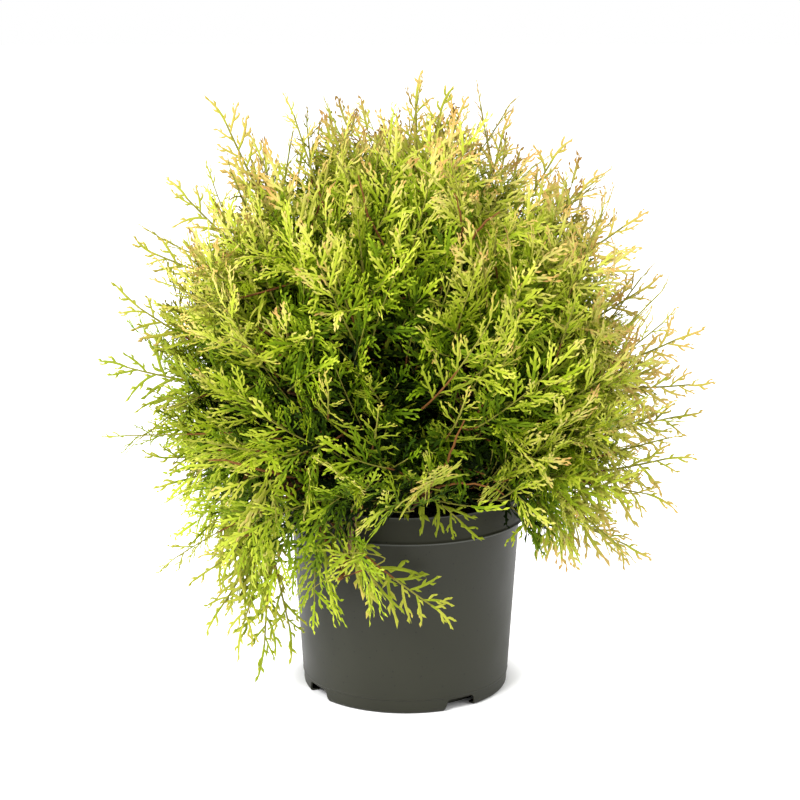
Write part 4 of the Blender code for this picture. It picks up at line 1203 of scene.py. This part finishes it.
PATTERN_KINDS = {           # length, spacing of branchlets, their length, lobe spacing, half-width
    "long": (0.047, 0.0038, 0.0175, 0.0042, 0.00098),
    "medium": (0.034, 0.0036, 0.0140, 0.0042, 0.00096),
    "short": (0.022, 0.0034, 0.0100, 0.0042, 0.00094),
    "thin": (0.030, 0.0064, 0.0125, 0.0052, 0.00092),
    "bold": (0.028, 0.0066, 0.0125, 0.0052, 0.00115),
    "shaded": (0.038, 0.0052, 0.0145, 0.0300, 0.00140),
}
LIT_KINDS = ("long", "medium", "short")
SLIM_KINDS = ("thin", "bold")   # sprays of lone shoots, with slim branchlets and colours of their own
FOLD = 0.6                      # height of a strip's middle fold against its half-width
SLIM_FOLD = 0.9
AXIS_LIFT = (0.0, 1.2)          # colour lift at a strip's foot, and how much more at its tip
BRANCHLET_LIFT = (0.5, 1.3)
LOBE_TONE = (1.2, 0.8)
PATTERN_VARIANTS = 6
AXIS_STEPS = 4
AXIS_TURN = (7.0, 16.0)         # how far an axis sets off and ends astray, in degrees
AXIS_WIDTHS = (0.8, 0.95, 1.0, 0.9, 0.0)
BRANCHLET_ANGLE = (46.0, 30.0)  # from the axis at the spray's foot and at its tip, in degrees
BRANCHLET_TAPER = 0.62
BRANCHLET_CURL = 60.0           # the most that a branchlet bends back along the axis
BRANCHLET_TILT = 0.16
BRANCHLET_STRAY = 5.0           # spread of their angles, in degrees
BRANCHLET_SPREAD = (0.75, 1.15)
BRANCHLET_ENDS = (0.6, 0.3)     # where the first stands, and what the axis has over their count
BRANCHLET_NECK = 0.6            # width at the foot, on lone shoots
BRANCHLET_WAIST = 0.92          # and after the first third of a long one
LONG_BRANCHLET = 0.008
FIRST_BRANCHLET = 0.7
LOBE_LENGTH = 0.0060
LOBE_TAPER = 0.45
LOBE_SPREAD = (0.8, 1.2)
LOBE_WIDTH = 0.8                # against the branchlet's
LOBE_BROADEST = 0.6             # where a lobe is broadest, as a share of its length
LOBE_SPACING_SPREAD = (0.9, 1.7)
LOBES_END = 0.92                # share of the branchlet that carries lobes
LOBE_ANGLE = (30.0, 46.0)
LOBE_RISE = 0.0006
SPRAY_SEED = 5
PALETTE = (                 # a sprig's base colours, from the deepest painted shade to the youngest tips
    ("leaf_deep", (0.004, 0.009, 0.001)),
    ("leaf_shade", (0.015, 0.034, 0.001)),
    ("leaf_dark", (0.044, 0.080, 0.001)),
    ("leaf_green", (0.100, 0.158, 0.002)),
    ("leaf_fresh", (0.188, 0.250, 0.005)),
    ("leaf_lime", (0.285, 0.332, 0.018)),
    ("leaf_yellow", (0.372, 0.382, 0.044)),
    ("leaf_straw", (0.420, 0.388, 0.084)),
    ("leaf_gold", (0.438, 0.334, 0.088)),
    ("leaf_amber", (0.430, 0.284, 0.070)),
    ("leaf_rust", (0.385, 0.228, 0.064)),
    ("shoot_green", (0.175, 0.212, 0.010)),
    ("shoot_olive", (0.280, 0.288, 0.028)),
    ("shoot_bronze", (0.360, 0.298, 0.052)),
    ("shoot_tan", (0.415, 0.290, 0.080)),
)
LEAF_TONES = 11             # the first of the palette, for leaves; the rest are for lone shoots


class Sheet:
    """Flat folded strips gathered into one pattern."""

    def __init__(self, fold):
        self.fold = fold
        self.corners, self.triangles, self.lifts = [], [], []

    def lobe(self, root, tip, half, lift, height, rise):
        """A kite-shaped lobe of two triangles, folded along its middle."""
        side = Vector((root.y - tip.y, tip.x - root.x)).normalized() * half
        broad = root.lerp(tip, LOBE_BROADEST)
        first = len(self.corners)
        self.corners += [(root.x, root.y, height + half * self.fold),
                         (broad.x - side.x, broad.y - side.y, height),
                         (tip.x, tip.y, height + rise),
                         (broad.x + side.x, broad.y + side.y, height)]
        self.triangles += [(first, first + 1, first + 2), (first, first + 2, first + 3)]
        self.lifts += [lift, lift]

    def strip(self, centres, half_widths, lift, gain, tilt):
        """A strip along centres, folded along its middle; a row with no width is one point."""
        rows = []
        origin = centres[0]
        for index, (centre, half) in enumerate(zip(centres, half_widths)):
            ahead = centres[min(index + 1, len(centres) - 1)] - centres[max(index - 1, 0)]
            side = Vector((-ahead.y, ahead.x)).normalized() * half
            height = tilt * (centre - origin).length
            first = len(self.corners)
            if half == 0.0:
                self.corners.append((centre.x, centre.y, height))
                rows.append([first] * 3)
                continue
            for place, fold in ((centre + side, 0.0), (centre, half * self.fold), (centre - side, 0.0)):
                self.corners.append((place.x, place.y, height + fold))
            rows.append([first, first + 1, first + 2])
        for index, (low, high) in enumerate(zip(rows, rows[1:])):
            tone = lift + gain * (index + 0.5) / (len(rows) - 1)
            for a, b in ((0, 1), (1, 2)):
                for triangle in ((low[a], low[b], high[b]), (low[a], high[b], high[a])):
                    if len(set(triangle)) == 3:
                        self.triangles.append(triangle)
                        self.lifts.append(tone)


def curl(start, angle, end_angle, length, steps):
    """Centres of a strip that sets off at an angle and ends at another, in degrees."""
    centres = [start]
    for turn in ramp(angle, end_angle, steps - 1):
        heading = math.radians(turn)
        step = Vector((math.cos(heading), math.sin(heading))) * length / steps
        centres.append(centres[-1] + step)
    return centres


def on_line(centres, share):
    """The place at a share of the way along the centres."""
    place = share * (len(centres) - 1)
    return centres[int(place)].lerp(centres[int(place) + 1], place % 1.0)


def spray_pattern(kind, rng):
    """One spray: an axis, branchlets to either side in turn, and lobes to either side of those."""
    length, spacing, branchlet, lobe_spacing, half = PATTERN_KINDS[kind]
    lobe_spacing *= rng.uniform(*LOBE_SPACING_SPREAD)
    slim = kind in SLIM_KINDS
    sheet = Sheet(SLIM_FOLD if slim else FOLD)
    axis = curl(Vector((0.0, 0.0)), rng.gauss(0.0, AXIS_TURN[0]), rng.gauss(0.0, AXIS_TURN[1]), length,
                AXIS_STEPS)
    sheet.strip(axis, [half * width for width in AXIS_WIDTHS], *AXIS_LIFT, 0.0)
    count = round(length / spacing)
    side = rng.choice((-1.0, 1.0))
    for index in range(count):
        share = (index + BRANCHLET_ENDS[0]) / (count + BRANCHLET_ENDS[1])
        side = -side
        angle = BRANCHLET_ANGLE[0] + (BRANCHLET_ANGLE[1] - BRANCHLET_ANGLE[0]) * share
        angle += rng.gauss(0.0, BRANCHLET_STRAY)
        reach = branchlet * (1.0 - BRANCHLET_TAPER * share) * rng.uniform(*BRANCHLET_SPREAD)
        reach *= FIRST_BRANCHLET if index == 0 else 1.0
        tilt = rng.gauss(0.0, BRANCHLET_TILT)
        parts = 3 if reach > LONG_BRANCHLET and kind != "shaded" else 2
        centres = curl(on_line(axis, share), side * angle, side * (angle - rng.uniform(0.0, BRANCHLET_CURL)),
                       reach, parts)
        neck = half * BRANCHLET_NECK if slim else 0.0
        steps = (neck, half * BRANCHLET_WAIST, half, 0.0) if parts == 3 else (neck, half, 0.0)
        sheet.strip(centres, steps, *BRANCHLET_LIFT, tilt)
        lobe_side = side
        for run in np.arange(lobe_spacing, reach * LOBES_END, lobe_spacing):
            along = run / reach
            root = on_line(centres, along)
            lobe_side = -lobe_side
            lobe_angle = math.radians(side * angle + lobe_side * rng.uniform(*LOBE_ANGLE))
            lobe = LOBE_LENGTH * (1.0 - LOBE_TAPER * along) * rng.uniform(*LOBE_SPREAD)
            tip = root + Vector((math.cos(lobe_angle), math.sin(lobe_angle))) * lobe
            lift = LOBE_TONE[0] + LOBE_TONE[1] * along
            sheet.lobe(root, tip, half * LOBE_WIDTH, lift, tilt * run, rng.gauss(0.0, LOBE_RISE))
    corners = np.array(sheet.corners)
    triangles = np.array(sheet.triangles)
    reach = corners[triangles][:, :, 0].mean(axis=1) / length
    return Pattern(corners, triangles, np.array(sheet.lifts), np.clip(reach, 0.0, 1.0), length)


class Spray(NamedTuple):
    """Where a spray stands: its pattern, root, directions, bend, size and colour."""

    pattern: tuple
    root: Vector
    along: Vector
    across: Vector
    facing: Vector
    bend: Vector
    size: float
    tone: float
    gilt: float


TONE_STEPS = 4.2            # steps of the palette from the deepest painted shade to the crown's surface
TONE_RIM = 1.1              # and steps more of painted light towards the crown's edge, its top and its right side
TONE_HIGH = 1.2
TONE_RIGHT = 0.7
TONE_LEFT = 0.4             # and fewer towards its left side, as painted shade
TONE_MEAN = 0.05
TONE_SPREAD = 0.3
TONE_FROND = 0.6            # spread of tone from frond to frond
TONE_INNER = 2.0            # how much darker the shaded fronds are painted in the middle, as painted shade
TONE_SHOOT = 0.9            # how much darker the lone shoots are
SHADED_DEPTH = 0.35         # under this share of the crown's size all is painted as shade
SHADE_CURVE = 1.5
EDGE_LIGHT = (0.95, 0.10)   # painted light that reaches in at the crown's edge, and what is lost of it
LEFT_LIGHT = 0.7            # against the right side's
GILT_HIGH = 2.6             # how far tips turn to gold near the top, and on the right
GILT_RIGHT = 0.6
GILT_SPREAD = 0.7
GILT_SHOOT = (1.3, 0.5)     # on lone shoots, and more on the right
RUST_CHANCE = (0.05, 0.18)  # share of the sprays with rusty tips, and more at the top and right
RUST = 2.4


def spray_tone(point, depth, kind, frond_tone, rng):
    """Palette number of a spray, with painted light and shade, and how far its tips turn to gold: by shade,
    height and side.
    """
    right = point.x / CROWN_RADIUS
    high = max(0.0, (point.z - CROWN_MIDDLE) / CROWN_RISE)
    lit = min(1.0, math.hypot(max(right, -LEFT_LIGHT * right), high))
    # Painted shade deep in the crown, and painted light at its edge, its top and its right side.
    shade = min(1.0, max(0.0, (depth - SHADED_DEPTH) / (1.0 - SHADED_DEPTH)))
    shade = max(shade, EDGE_LIGHT[0] * lit - EDGE_LIGHT[1])
    tone = TONE_STEPS * shade ** SHADE_CURVE + TONE_RIM * lit + TONE_HIGH * high + frond_tone
    tone += (TONE_RIGHT if right > 0.0 else TONE_LEFT) * right + rng.gauss(TONE_MEAN, TONE_SPREAD)
    gilt = GILT_HIGH * high + GILT_RIGHT * right + frond_tone + rng.gauss(0.0, GILT_SPREAD)
    if rng.random() < RUST_CHANCE[0] + RUST_CHANCE[1] * max(high, right):
        gilt += RUST
    if kind in ("leader", "stray"):
        tone -= TONE_SHOOT
        gilt += GILT_SHOOT[0] + GILT_SHOOT[1] * right
    if kind in ("inner", "low"):
        return tone - TONE_INNER * (1.0 - lit), 0.0
    return tone, max(0.0, gilt) * shade


FIRST_SPRAY = 0.06              # where the sprays begin and how far they go on, in shares of the frond
SPRAY_RUN = 0.92
SPRAY_ANGLE = (52.0, 20.0)      # from the frond's axis at its foot, and how much less at its tip
SPRAY_STRAY = 6.0               # spread of that angle
SPRAY_TILT = 0.16
LEAST_SPRAYS = 4
SPRAY_LENGTH = (0.045, 0.026)   # at the frond's foot, and how much less at its tip
SPRAY_SPREAD = (0.82, 1.15)
END_SPRAY = 0.026
SPRAY_SIZES = (0.62, 1.25)      # how far a pattern may be scaled
SURFACE_FROM = 0.8              # share of the crown's size past which a frond is at its surface
SPRAY_RISE = 0.02               # mean bend of the sprays up, at the crown's surface over its middle
SPRAY_HANG = -0.12              # and elsewhere
BEND_SPREAD = (0.11, 0.16)      # of the bend up or down, and to the flat side
BEND_BACK = -0.08
WEEPING_DEPTH = 0.9             # the painted light on weeping sprays, as a share of the crown's size


def frond_sprays(frond, rng):
    """The sprays of one frond: two ranks along its axis, and one at its tip."""
    points = frond.axis
    growth = GROWTHS[frond.kind]
    frond_tone = rng.gauss(0.0, TONE_FROND)
    count = max(LEAST_SPRAYS, round((points[-1] - points[0]).length / growth.spacing))
    side = rng.choice((-1.0, 1.0))
    sprays = []
    for index in range(count + 1):
        share = FIRST_SPRAY + SPRAY_RUN * index / count
        root = on_line(points, share)
        low = int(share * FROND_STEPS)
        ahead = (points[low + 1] - points[low]).normalized()
        facing = (frond.face - ahead * frond.face.dot(ahead)).normalized()
        side = -side
        angle = 0.0
        if index < count:
            angle = side * (SPRAY_ANGLE[0] - SPRAY_ANGLE[1] * share + rng.gauss(0.0, SPRAY_STRAY))
        along = ahead.copy()
        along.rotate(Quaternion(facing, math.radians(angle)))
        facing = tilted(facing, SPRAY_TILT, rng)
        facing = (facing - along * facing.dot(along)).normalized()
        wanted = END_SPRAY
        if index < count:
            wanted = (SPRAY_LENGTH[0] - SPRAY_LENGTH[1] * share) * rng.uniform(*SPRAY_SPREAD)
        wanted *= growth.scale
        kind = growth.pattern or min(LIT_KINDS, key=lambda name: abs(PATTERN_KINDS[name][0] - wanted))
        size = min(SPRAY_SIZES[1], max(SPRAY_SIZES[0], wanted / PATTERN_KINDS[kind][0]))
        lift = SPRAY_RISE if frond.depth > SURFACE_FROM and root.z > CROWN_MIDDLE else SPRAY_HANG
        bend = (UP * rng.gauss(lift, BEND_SPREAD[0]) + facing * rng.gauss(BEND_BACK, BEND_SPREAD[1])) * wanted
        tip = root + along * wanted + bend
        if not all(hangs_right(point, frond.mass, frond.kind) for point in (root.lerp(tip, 0.5), tip)):
            continue
        depth = WEEPING_DEPTH if frond.kind == "weeping" else crown_share(tip)
        tone, gilt = spray_tone(root, depth, frond.kind, frond_tone, rng)
        sprays.append(Spray((kind, rng.randrange(PATTERN_VARIANTS)), root, along, facing.cross(along),
                            facing, bend, size, tone, gilt))
    return sprays


PATTERN_LIFT = 0.72         # how many steps of the palette a pattern's colour lift counts
GILDED_FROM = 0.45          # share of a spray's length past which it turns to gold
LOBE_LIFTS = 1.5            # lobes have more lift than this
LOBE_GILT = 0.35
SHOOT_TONES = (1.5, 2.1)    # the leaf tone where shoots leave green, and leaf tones to each of theirs
BEND_END = 1.2              # share of a pattern's length past which it bends no more


def spray_mesh(name, sprays, patterns):
    """All sprays of one mass as one mesh of triangles, with a material number for each."""
    all_corners, all_triangles, all_slots = [], [], []
    first = 0
    for key, pattern in patterns.items():
        chosen = [spray for spray in sprays if spray.pattern == key]
        if not chosen:
            continue
        roots = np.array([spray.root for spray in chosen])
        frames = np.array([(spray.along, spray.across, spray.facing) for spray in chosen])
        bends = np.array([spray.bend for spray in chosen])
        sizes = np.array([spray.size for spray in chosen])
        placed = np.einsum("vi,nij->nvj", pattern.corners, frames) * sizes[:, None, None]
        run = np.clip(pattern.corners[:, 0] / pattern.length, 0.0, BEND_END) ** 2
        corners = roots[:, None, :] + placed + bends[:, None, :] * run[None, :, None]
        count = len(pattern.corners)
        starts = first + np.arange(len(chosen)) * count
        all_corners.append(corners.reshape(-1, 3))
        all_triangles.append((pattern.triangles[None, :, :] + starts[:, None, None]).reshape(-1, 3))
        tones = np.array([spray.tone for spray in chosen])[:, None]
        gilts = np.array([spray.gilt for spray in chosen])[:, None]
        outer = np.clip((pattern.reach - GILDED_FROM) / (1.0 - GILDED_FROM), 0.0, 1.0)
        gilded = gilts * (outer + LOBE_GILT * (pattern.lifts > LOBE_LIFTS))
        number = np.clip(np.floor(tones + pattern.lifts[None, :] * PATTERN_LIFT + gilded), 0, LEAF_TONES - 1)
        if key[0] in SLIM_KINDS:
            number = np.floor((number - SHOOT_TONES[0]) / SHOOT_TONES[1])
            number = LEAF_TONES + np.clip(number, 0, len(PALETTE) - LEAF_TONES - 1)
        all_slots.append(number.astype(np.int32).reshape(-1))
        first += len(chosen) * count
    corners, triangles, slots = (np.concatenate(part) for part in (all_corners, all_triangles, all_slots))
    mesh = bpy.data.meshes.new(name)
    mesh.vertices.add(len(corners))
    mesh.vertices.foreach_set("co", corners.astype(np.float32).reshape(-1))
    mesh.loops.add(len(triangles) * 3)
    mesh.loops.foreach_set("vertex_index", triangles.astype(np.int32).reshape(-1))
    mesh.polygons.add(len(triangles))
    mesh.polygons.foreach_set("loop_start", np.arange(0, len(triangles) * 3, 3, dtype=np.int32))
    mesh.polygons.foreach_set("material_index", slots)
    mesh.update(calc_edges=True)
    mesh.validate()
    return new_object(name, mesh)


LEAF_ROUGHNESS = 0.55
LEAF_GLOSS = (0.03, 0.3)    # of a black leaf, and how much more with its green


def leaf_material(name, colour):
    """Waxy scale leaves of one plain colour; the darker colours, which are painted shade, also reflect less.
    """
    material, shader = principled(name, colour, LEAF_ROUGHNESS)
    shader.inputs["Specular IOR Level"].default_value = LEAF_GLOSS[0] + LEAF_GLOSS[1] * colour[1]
    return material


spray_rng = random.Random(SPRAY_SEED)
spray_patterns = {(kind, index): spray_pattern(kind, spray_rng)
                  for kind in PATTERN_KINDS for index in range(PATTERN_VARIANTS)}
leaf_materials = [leaf_material(name, colour) for name, colour in PALETTE]
for mass in crown_masses:
    mass_sprays = []
    for frond in crown_fronds:
        if frond.mass is mass:
            mass_sprays += frond_sprays(frond, spray_rng)
    sprays = spray_mesh(f"sprays_{mass.name}", mass_sprays, spray_patterns)
    for material in leaf_materials:
        sprays.data.materials.append(material)
    sprays.data.shade_smooth()
    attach(sprays, "root")
    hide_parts(f"foliage_{mass.name}")


# ---- Floor and light ----------------------------------------------------------------------------
# A white studio sweep: a pale floor under an even white sky, with one broad soft lamp in front and
# above on the left, and two weaker ones low at the sides.  The floor glows as painted light that
# washes out shadows on it, except close round the pot's foot.
FLOOR_SIZE = 12.0
PAINTED_FLOOR_LIGHT = 0.7                  # painted light: the floor's glow, away from what stands on it
PAINTED_LIGHT_FROM = 0.078           # distance from the pot's middle at which that light sets in
PAINTED_LIGHT_TO = 0.106
floor_corners = [(x * FLOOR_SIZE, y * FLOOR_SIZE, 0.0) for x, y in ((-1, -1), (1, -1), (1, 1), (-1, 1))]
floor = add_piece("floor", floor_corners, [(0, 1, 2, 3)])
sweep, sweep_shader = principled("white_sweep", (0.86, 0.86, 0.86), 0.9)
# Painted light: the floor glows away from the pot, washing out shadows on it.
sweep_shader.inputs["Emission Color"].default_value = (1.0, 1.0, 1.0, 1.0)
sweep_place = add_node(sweep, "TexCoord")
sweep_far = add_node(sweep, "VectorMath", {"operation": "LENGTH"})
sweep_painted_light = add_node(sweep, "MapRange", From_Min=PAINTED_LIGHT_FROM, From_Max=PAINTED_LIGHT_TO, To_Min=0.0, To_Max=PAINTED_FLOOR_LIGHT)
link(sweep, sweep_place, "Object", sweep_far, "Vector")
link(sweep, sweep_far, "Value", sweep_painted_light, "Value")
link(sweep, sweep_painted_light, "Result", sweep_shader, "Emission Strength")
floor.data.materials.append(sweep)

world = bpy.data.worlds.new("studio_sky")
world.use_nodes = True
sky = world.node_tree.nodes["Background"]
sky.inputs["Color"].default_value = (1.0, 1.0, 1.0, 1.0)
sky.inputs["Strength"].default_value = 1.0
bpy.context.scene.world = world


def soft_lamp(name, place, size, power):
    """A square lamp that faces the middle of the crown."""
    light = bpy.data.lights.new(name, "AREA")
    light.size = size
    light.energy = power
    lamp = new_object(name, light)
    lamp.location = place
    lamp.rotation_euler = (CENTRE - Vector(place)).to_track_quat("-Z", "Y").to_euler()


soft_lamp("key_lamp", (-1.0, -1.55, 1.97), 0.9, 90.0)
soft_lamp("fill_lamp", (1.6, -1.0, 1.2), 1.2, 14.0)
soft_lamp("side_lamp", (-1.7, -0.5, 0.4), 0.8, 14.0)


# ---- Camera -------------------------------------------------------------------------------------
# A portrait lens a metre and a half in front, from a little above the crown, a hair left of the
# pot's middle.
CAMERA_PLACE = Vector((-0.0043, -1.525, 0.565))
CAMERA_PITCH = 0.217        # radians that it looks down
CAMERA_LENS = 90.0
CAMERA_SENSOR = 36.0
camera_data = bpy.data.cameras.new("camera")
camera_data.lens = CAMERA_LENS
camera_data.sensor_width = CAMERA_SENSOR
camera = new_object("camera", camera_data)
camera.location = CAMERA_PLACE
camera.rotation_euler = (math.pi / 2.0 - CAMERA_PITCH, 0.0, 0.0)
bpy.context.scene.camera = camera
bpy.context.scene.view_settings.view_transform = "Standard"
